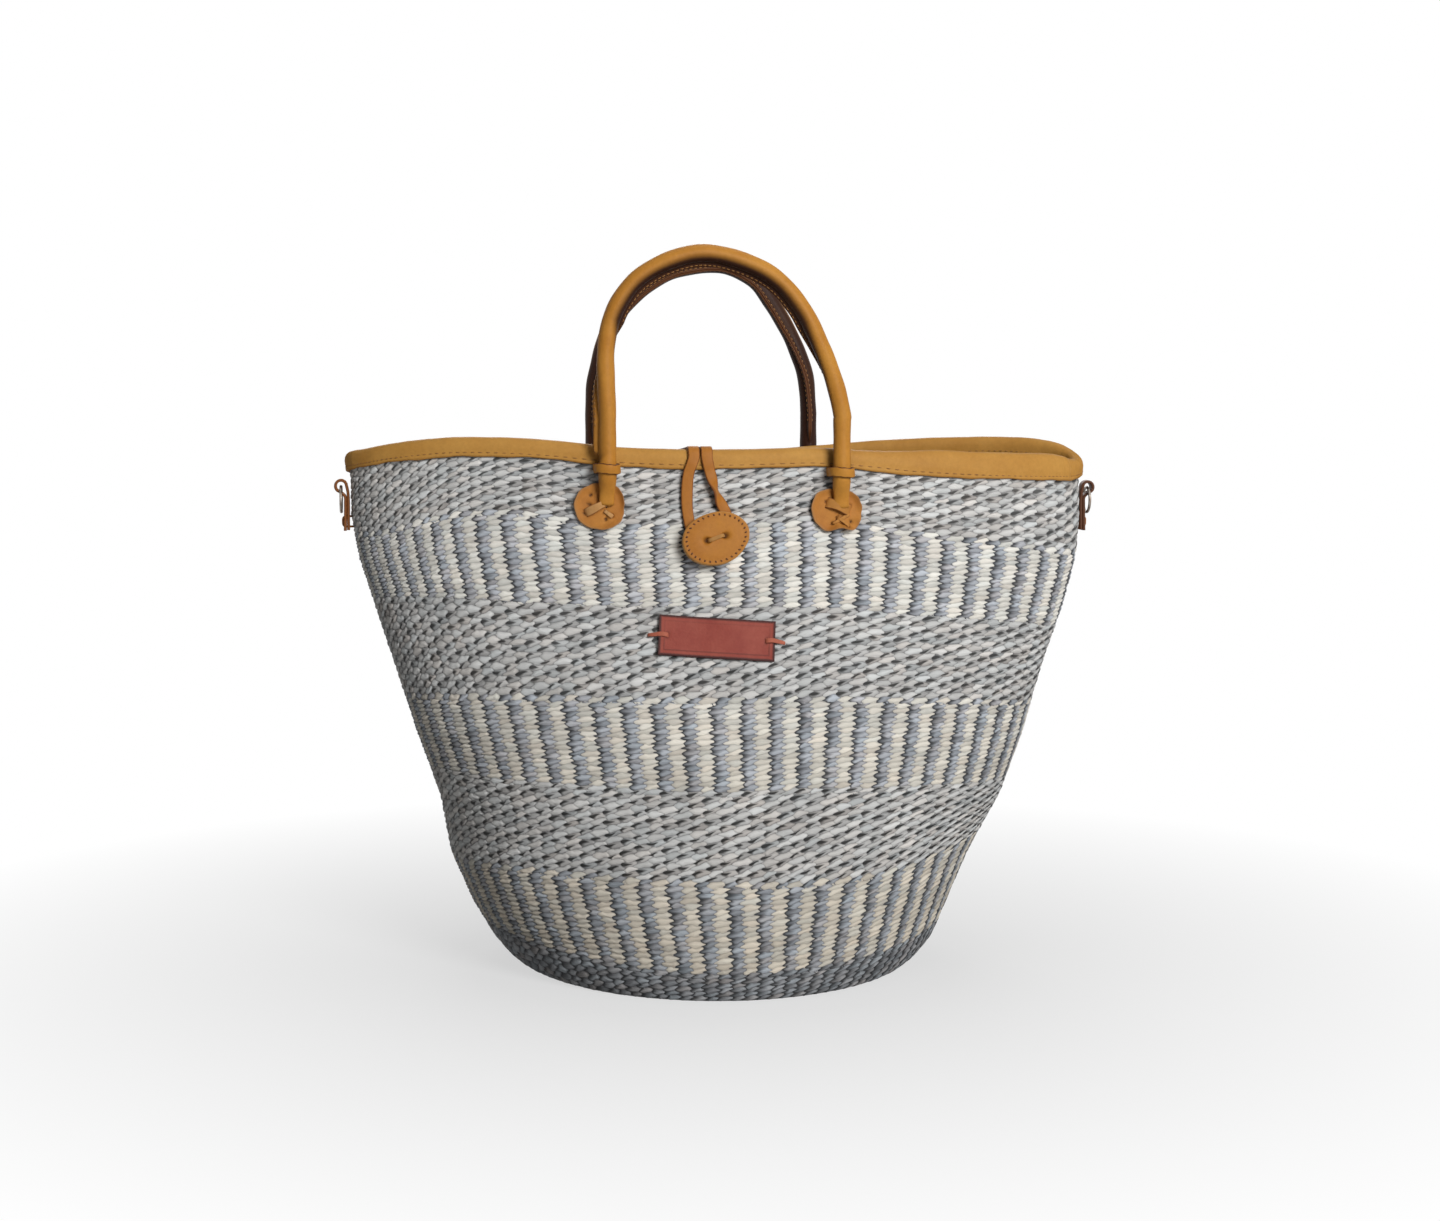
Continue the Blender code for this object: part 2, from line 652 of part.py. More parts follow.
def make_patch(name, wall, side):
    """Round cut patch, with the crossed thongs that tie the handle's end over it."""
    turns = [math.tau * index / len(PATCH_EDGE_SHARES) for index in range(len(PATCH_EDGE_SHARES))]
    outline = [(PATCH_RADIUS * share * math.cos(turn), PATCH_RADIUS * share * math.sin(turn))
               for turn, share in zip(turns, PATCH_EDGE_SHARES)]
    x, height = leg_x(side, wall), patch_height(side, wall)
    patch = wall_sheet(name + "_patch", [outline], x, height, 0.0, wall, PATCH_THICKNESS, TAN)
    rise = WALL_GAP * 3 + PATCH_THICKNESS + 2 * TIP_RADIUS + THONG_THICKNESS / 2
    sink = WALL_THICKNESS + 2 * WALL_GAP + THONG_THICKNESS / 2
    span = 2 * math.hypot(LACING_HALF_WIDTH, LACING_HALF_HEIGHT)
    centre, level, rising, normal = wall_frame(x, height, wall)
    thongs, cutters = [], []
    for layer, slope in enumerate((LEFT, RIGHT)):
        along = (level * LACING_HALF_WIDTH + rising * (slope * LACING_HALF_HEIGHT)).normalized()
        offset = layer * THONG_GAP
        thong, cutter = tie(name + " lacing " + str(layer), centre, along, normal, span, rise + offset,
                            sink + offset)
        thongs.append(thong)
        cutters.append(cutter)
        cut(patch, cutter)
    union(name + "_lacing", thongs)
    return cutters


# Closure, button and label

def rim_top(x, wall):
    """Height of the middle of a strap that lies over the binding's crown."""
    return edge_height(turn_at(x, MOUTH_HEIGHT, wall)) + BINDING_RISE + CLEARANCE + STRAP_THICKNESS / 2


def rim_middle(x, wall):
    return wall * (wall_depth(x, MOUTH_HEIGHT, wall) - WALL_THICKNESS / 2)


def strap_pivot(wall):
    """Where the strap folds, on its upper face over the middle of the rim."""
    height = rim_top(CLOSURE_X, wall) + STRAP_THICKNESS / 2
    return Vector((CLOSURE_X, rim_middle(CLOSURE_X, wall), height))


def strand_x(side):
    return CLOSURE_X + side * STRAND_SPACING / 2


def over_rim(x, wall):
    """Points of a strand from the rim's middle over the binding to just below it."""
    standoff = CLEARANCE * 3 + BINDING_THICKNESS + THREAD_THICKNESS + STRAP_THICKNESS / 2
    edge = edge_height(turn_at(x, MOUTH_HEIGHT, wall))
    crown = rim_top(x, wall)
    face = wall * (wall_depth(x, edge, wall) + standoff)
    return [Vector((x, rim_middle(x, wall) + wall * CLEARANCE, crown)),
            Vector((x, face - wall * STRAP_THICKNESS, crown)),
            Vector((x, face, crown - STRAP_THICKNESS)),
            on_wall(x, edge - BINDING_DROP - BINDING_THICKNESS, wall, standoff)]


def make_strap():
    """Two strands from the back rim over to the front rim, and their tails down the back wall."""
    standoff = WALL_GAP + STRAP_THICKNESS / 2
    for word, side in SIDES:
        x = strand_x(side)
        start = Vector((x, rim_middle(x, BACK) - CLEARANCE, rim_top(x, BACK)))
        end = Vector((x, rim_middle(x, FRONT) + CLEARANCE, rim_top(x, FRONT)))
        ribbon("closure_strap_" + word, [start, end], LEVEL, STRAND_WIDTH, STRAP_THICKNESS, TAN)
        edge = edge_height(turn_at(x, MOUTH_HEIGHT, BACK))
        heights = (edge - BINDING_DROP * 1.5, edge - TAIL_LENGTH)
        route = over_rim(x, BACK) + [on_wall(x, height, BACK, standoff) for height in heights]
        ribbon("closure_tail_" + word, route, LEVEL, STRAND_WIDTH, STRAP_THICKNESS, TAN)
    height = edge_height(math.pi) - TAIL_LENGTH + TAIL_TIE_INSET
    centre, level, _, normal = wall_frame(CLOSURE_X, height, BACK)
    span = STRAND_SPACING + STRAND_WIDTH + 2 * THONG_THICKNESS + 2 * THONG_GAP
    _, cutter = tie("closure_tail_tie", centre, level, normal, span,
                    2 * WALL_GAP + STRAP_THICKNESS + THONG_THICKNESS / 2,
                    WALL_THICKNESS + WALL_GAP + THONG_THICKNESS / 2)
    return cutter


def make_loop():
    """The doubled strap's front: down the wall, round behind the button, and up again."""
    standoff = WALL_GAP + STRAP_THICKNESS / 2
    bend = STEM_RADIUS + WALL_GAP + STRAND_WIDTH / 2 + STRAP_THICKNESS
    strands = []
    for _, side in SIDES:
        x = strand_x(side)
        foot = (x + BUTTON_X + side * bend) / 2
        low = edge_height(turn_at(x, MOUTH_HEIGHT, FRONT)) - BINDING_DROP
        strands.append(over_rim(x, FRONT) + [on_wall(foot, (low + BUTTON_HEIGHT) / 2, FRONT, standoff)])
    centre, level, rising, normal = wall_frame(BUTTON_X, BUTTON_HEIGHT, FRONT)
    turns = [math.pi * step / BEND_STEPS for step in range(BEND_STEPS + 1)]
    inward = [level * math.cos(turn) + rising * math.sin(turn) for turn in turns]
    points = strands[0] + [centre + normal * standoff - side * bend for side in inward] + strands[1][::-1]
    across = [LEVEL] * len(strands[0]) + inward + [-LEVEL] * len(strands[1])
    ribbon("closure_loop", points, across, STRAND_WIDTH, STRAP_THICKNESS, TAN)


def button_frame():
    """Middle of the button's seat on the wall, and its long, short and outward directions."""
    low = on_wall(BUTTON_X, BUTTON_HEIGHT - BUTTON_HALF_HEIGHT, FRONT, 0.0)
    high = on_wall(BUTTON_X, BUTTON_HEIGHT + BUTTON_HALF_HEIGHT, FRONT, 0.0)
    rising = (high - low).normalized()
    normal = LEVEL.cross(rising).normalized()
    tilt = math.radians(BUTTON_ANGLE)
    long_way = LEVEL * math.cos(tilt) + rising * math.sin(tilt)
    short_way = normal.cross(long_way).normalized()
    return on_wall(BUTTON_X, BUTTON_HEIGHT, FRONT, 0.0), long_way, short_way, normal


def make_button():
    """Two leather faces over a core, held by a thong through the wall."""
    centre, long_way, short_way, normal = button_frame()
    half = BUTTON_HOLE_SPACING / 2
    layers = (("button_back", BUTTON_LEATHER, TAN, 1.0),
              ("button_core", BUTTON_CORE, CORE, BUTTON_CORE_SHARE),
              ("button_face", BUTTON_LEATHER, TAN, 1.0))
    seat = WALL_GAP * 3 + STRAP_THICKNESS + THONG_THICKNESS
    back_run = seat - WALL_GAP - THONG_THICKNESS / 2
    front_run = seat + sum(layer[1] + THONG_GAP for layer in layers) + THONG_THICKNESS
    holes = [centre + long_way * (side * half) for side in (LEFT, RIGHT)]
    size = (THONG_THICKNESS + 2 * THONG_GAP, THONG_WIDTH + 2 * THONG_GAP)
    slots = slot_cutter("button", holes, long_way, short_way, size, 0.0, 2 * front_run, normal)
    for name, thickness, material, size_share in layers:
        outline = oval(BUTTON_HALF_LENGTH * size_share, BUTTON_HALF_HEIGHT * size_share, BUTTON_SIDES)
        matrix = frame_matrix(centre + normal * (seat + thickness / 2), long_way, short_way, normal)
        cut(plate(name, [outline], thickness, matrix, material), slots)
        seat += thickness + THONG_GAP
    corner = THONG_THICKNESS
    outline = ((-half, back_run), (-half, front_run - corner), (corner - half, front_run),
               (half - corner, front_run), (half, front_run - corner), (half, back_run))
    points = [centre + long_way * run + normal * out for run, out in outline]
    thong = ribbon("button thong", points, short_way, THONG_WIDTH, THONG_THICKNESS, TAN, closed=True)
    inside = -(WALL_THICKNESS + WALL_GAP)
    stem_ends = (back_run - THONG_THICKNESS / 4, inside - KNOT_LENGTH / 2)
    stem = tube("button stem", [centre + normal * end for end in stem_ends], STEM_RADIUS, TAN)
    knot_ends = (inside, inside - KNOT_LENGTH)
    knot = tube("button knot", [centre + normal * end for end in knot_ends], KNOT_RADIUS, TAN)
    smooth(union("button_thong", [thong, to_mesh(stem, TAN), to_mesh(knot, TAN)]))
    hole_ends = (WALL_THICKNESS, -2 * WALL_THICKNESS)
    hole_line = [centre + normal * end for end in hole_ends]
    return to_mesh(tube("hole button stem", hole_line, STEM_RADIUS + THONG_GAP))


def make_label():
    """Bare leather label that follows the wall, tied on at both ends."""
    half_length, half_width = LABEL_LENGTH / 2, LABEL_WIDTH / 2
    runs = [mix(half_length, -half_length, step / LABEL_STEPS) for step in range(LABEL_STEPS + 1)]
    outline = [(run, half_width) for run in runs] + [(-run, -half_width) for run in runs]
    inner = [(across * LABEL_INNER_SHARE, up * LABEL_INNER_SHARE) for across, up in outline]
    label = wall_sheet("label_plate", [outline, inner], BUTTON_X, LABEL_HEIGHT, LABEL_ANGLE, FRONT,
                       LABEL_THICKNESS, LABEL)
    tilt = math.radians(LABEL_ANGLE)
    reach = half_length - LABEL_TIE_INSET + LABEL_TIE_SPAN / 2
    cutters = []
    for word, side in SIDES:
        centre, level, rising, normal = wall_frame(BUTTON_X + math.cos(tilt) * side * reach,
                                                   LABEL_HEIGHT + math.sin(tilt) * side * reach, FRONT)
        along = level * math.cos(tilt) + rising * math.sin(tilt)
        _, cutter = tie("label_tie_" + word, centre, along, normal, LABEL_TIE_SPAN,
                        WALL_GAP * 2 + LABEL_THICKNESS + THONG_THICKNESS,
                        WALL_THICKNESS + 2 * WALL_GAP + THONG_THICKNESS)
        cut(label, cutter)
        cutters.append(cutter)
    return cutters


# Side rings

def end_wall(side, height):
    return wall_point(math.pi / 2 * side, height)


def ring_eye(side):
    """Middle of the tab's eye, and how far out of the wall's widest place it stands."""
    height = edge_height(math.pi / 2 * side) - TAB_TOP_DROP
    standoff = WALL_GAP * 2 + 2 * TAB_THICKNESS + RING_WIRE_RADIUS + CLEARANCE
    widest = max(abs(end_wall(side, place).x) for place in (height, height - TAB_TAIL_LENGTH))
    return Vector((side * (widest + standoff), end_wall(side, height).y, height)), standoff


def ring_top(side):
    """Middle of the ring's wire where it rests in the eye, low enough to touch its ends."""
    sag = RING_RADIUS - math.sqrt(RING_RADIUS ** 2 - (TAB_WIDTH / 2) ** 2)
    eye, _ = ring_eye(side)
    return eye - UPRIGHT * (TAB_EYE_RADIUS - RING_WIRE_RADIUS - CLEARANCE - sag)


def make_tab(word, side):
    """Strip folded round the ring, with both tails tied flat on the end wall."""
    out = LEVEL * side
    eye, standoff = ring_eye(side)
    outer = TAB_EYE_RADIUS + TAB_THICKNESS
    back = WALL_GAP - standoff
    front = back + 2 * TAB_THICKNESS
    start = -math.acos(front / outer)
    turns = [mix(start, math.pi, index / TAB_EYE_SIDES) for index in range(TAB_EYE_SIDES + 1)]
    outline = [(outer * math.cos(turn), outer * math.sin(turn)) for turn in turns]
    outline += [(back, 0.0), (back, -TAB_TAIL_LENGTH), (front, -TAB_TAIL_LENGTH)]
    hole = oval(TAB_EYE_RADIUS, TAB_EYE_RADIUS, TAB_EYE_SIDES)
    tab = plate(word + "_ring_tab", [outline, hole], TAB_WIDTH,
                frame_matrix(eye, out, UPRIGHT, out.cross(UPRIGHT)), TAN)
    smooth(tab)
    centre = end_wall(side, eye.z - TAB_TAIL_LENGTH + TAB_TIE_INSET)
    tail_face = abs(eye.x - centre.x) + front
    _, cutter = tie(word + "_ring_tab_tie", centre, UPRIGHT, out, TAB_TIE_SPAN,
                    tail_face + WALL_GAP + THONG_THICKNESS / 2,
                    WALL_THICKNESS + TAB_TIE_SINK + THONG_THICKNESS / 2)
    cut(tab, cutter)
    return cutter


def make_ring(word, side):
    bpy.ops.mesh.primitive_torus_add(major_radius=RING_RADIUS, minor_radius=RING_WIRE_RADIUS,
                                     major_segments=24, minor_segments=8)
    ring = bpy.context.object
    ring.name = word + "_ring"
    ring.data.name = ring.name
    for owner in list(ring.users_collection):
        owner.objects.unlink(ring)
    place(ring, STEEL)
    ring.data.transform(Matrix.Translation(-UPRIGHT * RING_RADIUS) @ Matrix.Rotation(math.pi / 2, 4, "Y"))
    ring.location = ring_top(side)
    smooth(ring)


clear_scene()
PARTS = new_collection("kiondo basket")
CUTTERS = new_collection("cutters")
TAN = finish("tan leather", TAN_LEATHER, 0.55)
BINDING = finish("binding leather", BINDING_LEATHER, 0.55)
LABEL = finish("label leather", LABEL_LEATHER, 0.6)
SISAL = finish("grey sisal", SISAL_GREY, 0.85)
ROPE = finish("rope fibre", ROPE_FIBRE, 0.9)
CORE = finish("button core board", ROPE_FIBRE, 0.8)
THREAD = finish("dark thread", DARK_THREAD, 0.8)
STEEL = finish("ring steel", RING_STEEL, 0.3, 1.0)

basket = make_body()
make_binding()
make_stitching()
wall_cutters = []
for wall_word, wall_side in WALLS:
    make_handle(wall_word, wall_side)
    hinge(wall_word + " handle", handle_pivot(wall_side),
          [wall_word + "_handle_cover", wall_word + "_handle_core"])
    for end_word, end_side in SIDES:
        leg_name = wall_word + "_" + end_word
        make_leg(leg_name, wall_side, end_side)
        wall_cutters.append(make_keeper(leg_name, wall_side, end_side))
        wall_cutters += make_patch(leg_name, wall_side, end_side)

wall_cutters.append(make_strap())
make_loop()
hinge("closure strap", strap_pivot(BACK), ["closure_strap_left", "closure_strap_right"])
hinge("closure loop", strap_pivot(FRONT), ["closure_loop"])

wall_cutters.append(make_button())
hinge("button", button_frame()[0], ["button_back", "button_core", "button_face", "button_thong"])
wall_cutters += make_label()
for end_word, end_side in SIDES:
    wall_cutters.append(make_tab(end_word, end_side))
    make_ring(end_word, end_side)

for wall_cutter in wall_cutters:
    cut(basket, wall_cutter)
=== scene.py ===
"""Kiondo basket: twined sisal body, leather-bound mouth, covered rope handles, strap and button.

Each section makes one piece, or a group of like pieces, in the order in which the basket is
put together. Metres, +Z up, -Y is the front, and the base stands on z 0.
"""
import math

import bpy
import numpy as np
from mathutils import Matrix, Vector


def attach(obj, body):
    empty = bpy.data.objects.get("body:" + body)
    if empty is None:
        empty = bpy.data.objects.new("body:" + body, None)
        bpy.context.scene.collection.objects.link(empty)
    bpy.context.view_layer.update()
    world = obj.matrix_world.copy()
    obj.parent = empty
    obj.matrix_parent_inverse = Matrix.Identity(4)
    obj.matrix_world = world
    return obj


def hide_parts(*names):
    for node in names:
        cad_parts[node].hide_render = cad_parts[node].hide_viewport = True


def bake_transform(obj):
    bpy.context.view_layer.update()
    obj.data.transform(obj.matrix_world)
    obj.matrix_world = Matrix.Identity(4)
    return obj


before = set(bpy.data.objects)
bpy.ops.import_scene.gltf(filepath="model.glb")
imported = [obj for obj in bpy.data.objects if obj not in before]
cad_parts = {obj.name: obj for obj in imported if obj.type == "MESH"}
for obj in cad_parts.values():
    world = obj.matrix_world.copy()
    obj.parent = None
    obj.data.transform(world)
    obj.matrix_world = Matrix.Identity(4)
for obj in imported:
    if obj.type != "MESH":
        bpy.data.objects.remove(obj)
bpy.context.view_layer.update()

# Woven wall. Two sisal strands, one light and one blue-grey, are twined round upright ribs and
# change places between them. Where they keep step the ribs make stripes, and where they swap
# at each row the stitches make rising diagonals. The wall grows from a round base to an oval mouth.
BASE_RADIUS = 0.134
MOUTH_LEFT = 0.2235
MOUTH_RIGHT = 0.2335
MOUTH_HALF_DEPTH = 0.062
MOUTH_HEIGHT = 0.3135
MOUTH_WAVE = 0.010
WALL_THICKNESS = 0.0035
RING_SHARES = (0.0, 0.012, 0.05, 0.12, 0.22, 0.33, 0.45, 0.58, 0.70, 0.80, 0.88, 1.0)
LEFT_SHARES = (-0.150, -0.070, 0.045, 0.193, 0.343, 0.409, 0.558, 0.702, 0.834, 0.945, 0.994, 1.0)
RIGHT_SHARES = (-0.135, -0.065, 0.045, 0.144, 0.288, 0.492, 0.636, 0.755, 0.889, 0.976, 1.0, 0.99)
DEPTH_SHARES = (0.055, 0.028, 0.0, 0.042, 0.167, 0.319, 0.472, 0.632, 0.764, 0.861, 0.931, 1.0)
MOUTH_WAVES = np.array((0.20, 0.28, -0.25, -0.55, -0.68, -0.70, -0.35, 0.33, 0.69, 0.68, 0.48, -0.01,
                        -0.40, -0.40, -0.30, -0.27, -0.30, -0.35, -0.05, 0.20, 0.62, 0.95, 0.83, 0.35))
FRONT, BACK = -1, 1
LEFT, RIGHT = -1, 1
ROWS = 103
EDGE_TUCK = 0.35
STITCH_DEPTH = 0.0012
STITCH_SWAY = 0.14

LEVELS = np.linspace(0, 1, 401)
LEFT_END = 0.75
CROWD_REACH = 0.095


def soft_run(mouth, shares):
    """Size of the wall at each level, through the measured shares, with soft corners."""
    steps = np.interp(LEVELS, RING_SHARES, BASE_RADIUS + (mouth - BASE_RADIUS) * np.array(shares))
    window = np.hanning(17)
    padded = np.pad(steps, 8, mode="reflect", reflect_type="odd")
    return np.convolve(padded, window / window.sum(), "valid")


LEFT_RUN = soft_run(MOUTH_LEFT, LEFT_SHARES)
RIGHT_RUN = soft_run(MOUTH_RIGHT, RIGHT_SHARES)
DEPTH_RUN = soft_run(MOUTH_HALF_DEPTH, DEPTH_SHARES)


def curve_between(before, low, high, after, share):
    """A smooth curve from low to high, led by the values before and after them."""
    curve = 2 * low + (high - before) * share
    curve = curve + (2 * before - 5 * low + 4 * high - after) * share ** 2
    return (curve + (3 * low - before - 3 * high + after) * share ** 3) / 2


def edge_height(turn):
    """Height of the woven edge at a turn: 0 is the front, a quarter turn the right end."""
    place = np.asarray(turn) / math.tau * len(MOUTH_WAVES)
    index = np.floor(place).astype(int)
    share = place - index
    nearest = (MOUTH_WAVES[(index + step) % len(MOUTH_WAVES)] for step in (-1, 0, 1, 2))
    return MOUTH_HEIGHT + MOUTH_WAVE * curve_between(*nearest, share)


def wall(turn, share):
    """Points of the wall's outer face at turns and at shares of its height."""
    to_right = np.interp(share, LEVELS, RIGHT_RUN)
    to_left = np.interp(share, LEVELS, LEFT_RUN)
    reach = np.where(np.sin(turn) > 0, to_right, to_left)
    depth = np.interp(share, LEVELS, DEPTH_RUN)
    return np.stack([reach * np.sin(turn), -depth * np.cos(turn), share * edge_height(turn)], axis=-1)


def unit(directions):
    return directions / np.linalg.norm(directions, axis=-1, keepdims=True)


def wall_normal(turn, share):
    along = wall(turn + 0.002, share) - wall(turn - 0.002, share)
    up = wall(turn, share + 0.004) - wall(turn, share - 0.004)
    return unit(np.cross(along, up))


def even_turns(share, places, crowd):
    """Turns of places that stand evenly round the wall, counted in whole rounds from the front.

    A crowd packs them closer round the left end."""
    turn = np.linspace(0, math.tau, 721)
    steps = np.linalg.norm(np.diff(wall(turn, share)[:, :2], axis=0), axis=1)
    round_share = np.cumsum(steps) / steps.sum()
    steps = steps * (1 + crowd * np.exp(-((round_share - LEFT_END) / CROWD_REACH) ** 4))
    run = np.concatenate([[0], np.cumsum(steps)])
    return np.interp(places % 1 * run[-1], run, turn)


# Bands of the wall, with their rows. The ribs are thicker or fewer lower down, so each band has
# its own number of ribs, its own start of them, and its own crowd of them at the left end.
# Hand-pulled rows rise and fall round the wall.
BANDS = (("grey_foot", 0, 5, 104, -0.70, 0.0), ("low_stripes", 5, 22, 106, -0.73, 0.0),
         ("low_diagonals", 22, 38, 108, -1.1, 0.0), ("middle_stripes", 38, 56, 112, -1.45, 0.11),
         ("middle_diagonals", 56, 72, 120, -1.2, 0.42), ("high_stripes", 72, 88, 124, -1.03, 0.62),
         ("high_diagonals", 88, ROWS, 126, -1.0, 0.62))
STRIPE_ROWS = ((5, 22), (38, 56), (72, 88))
SLOPE_ROWS = (4.5, 5.5, 21.5, 22.5, 37.5, 38.5, 55.5, 56.5, 71.5, 72.5, 87.5, 88.5)
SLOPES = (0.4, 0.18, 0.18, 0.46, 0.46, 0.18, 0.18, 0.26, 0.26, 0.18, 0.18, 0.26)
EDGE_TURNS = (-90, -65, -50, -35, -20, -5, 10, 25, 40, 55, 70, 90, 135, 180, 225)
EDGE_SHARES = {
    0: (0.0,) * 15,
    5: (0.086, 0.079, 0.067, 0.059, 0.048, 0.043, 0.045, 0.050,
        0.058, 0.068, 0.074, 0.080, 0.058, 0.045, 0.060),
    22: (0.199, 0.212, 0.214, 0.215, 0.211, 0.209, 0.202, 0.206,
         0.215, 0.240, 0.252, 0.254, 0.215, 0.207, 0.212),
    38: (0.387, 0.385, 0.373, 0.373, 0.372, 0.369, 0.370, 0.370,
         0.370, 0.363, 0.359, 0.357, 0.366, 0.369, 0.378),
    56: (0.525, 0.526, 0.525, 0.528, 0.535, 0.538, 0.534, 0.536,
         0.533, 0.524, 0.513, 0.510, 0.526, 0.535, 0.531),
    72: (0.723, 0.723, 0.713, 0.706, 0.711, 0.716, 0.711, 0.705,
         0.699, 0.689, 0.675, 0.664, 0.690, 0.714, 0.712),
    88: (0.840, 0.837, 0.857, 0.870, 0.852, 0.861, 0.861, 0.857,
         0.845, 0.833, 0.817, 0.812, 0.840, 0.862, 0.852),
    ROWS: (1.0,) * 15}




def edge_share(row, turn):
    """Share of the wall's height at which a band's edge lies, softly curved round the wall."""
    degrees = np.arange(-20, 381)
    run = np.interp(degrees, EDGE_TURNS, EDGE_SHARES[row], period=360)
    window = np.hanning(19)
    run = np.convolve(run, window / window.sum(), "same")
    return np.interp(np.degrees(turn) % 360, degrees, run)


def slope_at(up):
    """How far a stitch rises over its width, in rows: steeper where the strands swap."""
    return np.interp(up, SLOPE_ROWS, SLOPES)


def stitch_relief(along, up, slope):
    """How full a stitch is, 0 in the gaps and 1 at its top, at places in ribs and rows."""
    place = along + STITCH_SWAY * np.sin(math.tau * up)
    rise = up - slope * (place % 1 - 0.5)
    belly = 1 - np.abs(2 * (rise % 1) - 1) ** 2.2
    ends = 1 - np.abs(2 * (place % 1) - 1) ** 2.8
    chance = np.sin(np.floor(place) * 12.9898 + np.floor(rise) * 78.233) * 43758.5453 % 1
    return np.sqrt(belly) * (0.22 + 0.78 * np.sqrt(ends)) * (0.74 + 0.34 * chance)


def hand_wander(round_turn, up, start):
    """Small unevenness of hand-pulled strands, between -1 and 1, that closes round the wall."""
    waves = ((31, 0.9, 0.25), (53, -1.7, 0.25), (89, 2.6, 0.25), (131, -3.4, 0.25))
    return sum(size * np.sin(count * round_turn + rate * up + start * count) for count, rate, size in waves)


def corner_places(places, ring_length=None):
    """Map places of each quad's four corners, from the places of rows of points."""
    if ring_length:
        last = places[:, :1] + np.array([ring_length, 0.0])
        places = np.concatenate([places, last], axis=1)
    return np.stack([places[:-1, :-1], places[:-1, 1:], places[1:, 1:], places[1:, :-1]], axis=2)


def corners_of(rows, count, ring):
    """Point numbers of each quad of a net. A ring joins each row's end to its start."""
    index = np.arange(rows * count).reshape(rows, count)
    if ring:
        index = np.concatenate([index, index[:, :1]], axis=1)
    return np.stack([index[:-1, :-1], index[:-1, 1:], index[1:, 1:], index[1:, :-1]], axis=2)


def quad_mesh(name, points, maps, ring=True, flipped=False, quads=None):
    """Smooth mesh of quads, through rows of points if the quads aren't given."""
    if quads is None:
        quads = corners_of(*points.shape[:2], ring)
    quads = quads.reshape(-1, 4)
    order = slice(None, None, -1) if flipped else slice(None)
    mesh = bpy.data.meshes.new(name)
    mesh.vertices.add(points.size // 3)
    mesh.vertices.foreach_set("co", points.astype(np.float32).ravel())
    mesh.loops.add(quads.size)
    mesh.loops.foreach_set("vertex_index", quads[:, order].astype(np.int32).ravel())
    mesh.polygons.add(len(quads))
    mesh.polygons.foreach_set("loop_start", np.arange(0, quads.size, 4, dtype=np.int32))
    mesh.update(calc_edges=True)
    for map_name, places in maps.items():
        layer = mesh.uv_layers.new(name=map_name)
        layer.data.foreach_set("uv", places.reshape(-1, 4, 2)[:, order].astype(np.float32).ravel())
    mesh.shade_smooth()
    return mesh


def mark(mesh, name, shares):
    """Keeps a value at each point of a mesh for its material, such as how raw an edge is."""
    mesh.attributes.new(name, "FLOAT", "POINT").data.foreach_set("value", shares.astype(np.float32).ravel())


def show(name, mesh, material, body, slot, *nodes):
    """Puts a finished mesh in the scene as a piece that rides on a body in place of CAD nodes."""
    piece = bpy.data.objects.new(name, mesh)
    bpy.context.scene.collection.objects.link(piece)
    mesh.materials.append(material)
    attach(piece, body)
    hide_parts(*nodes)
    return piece


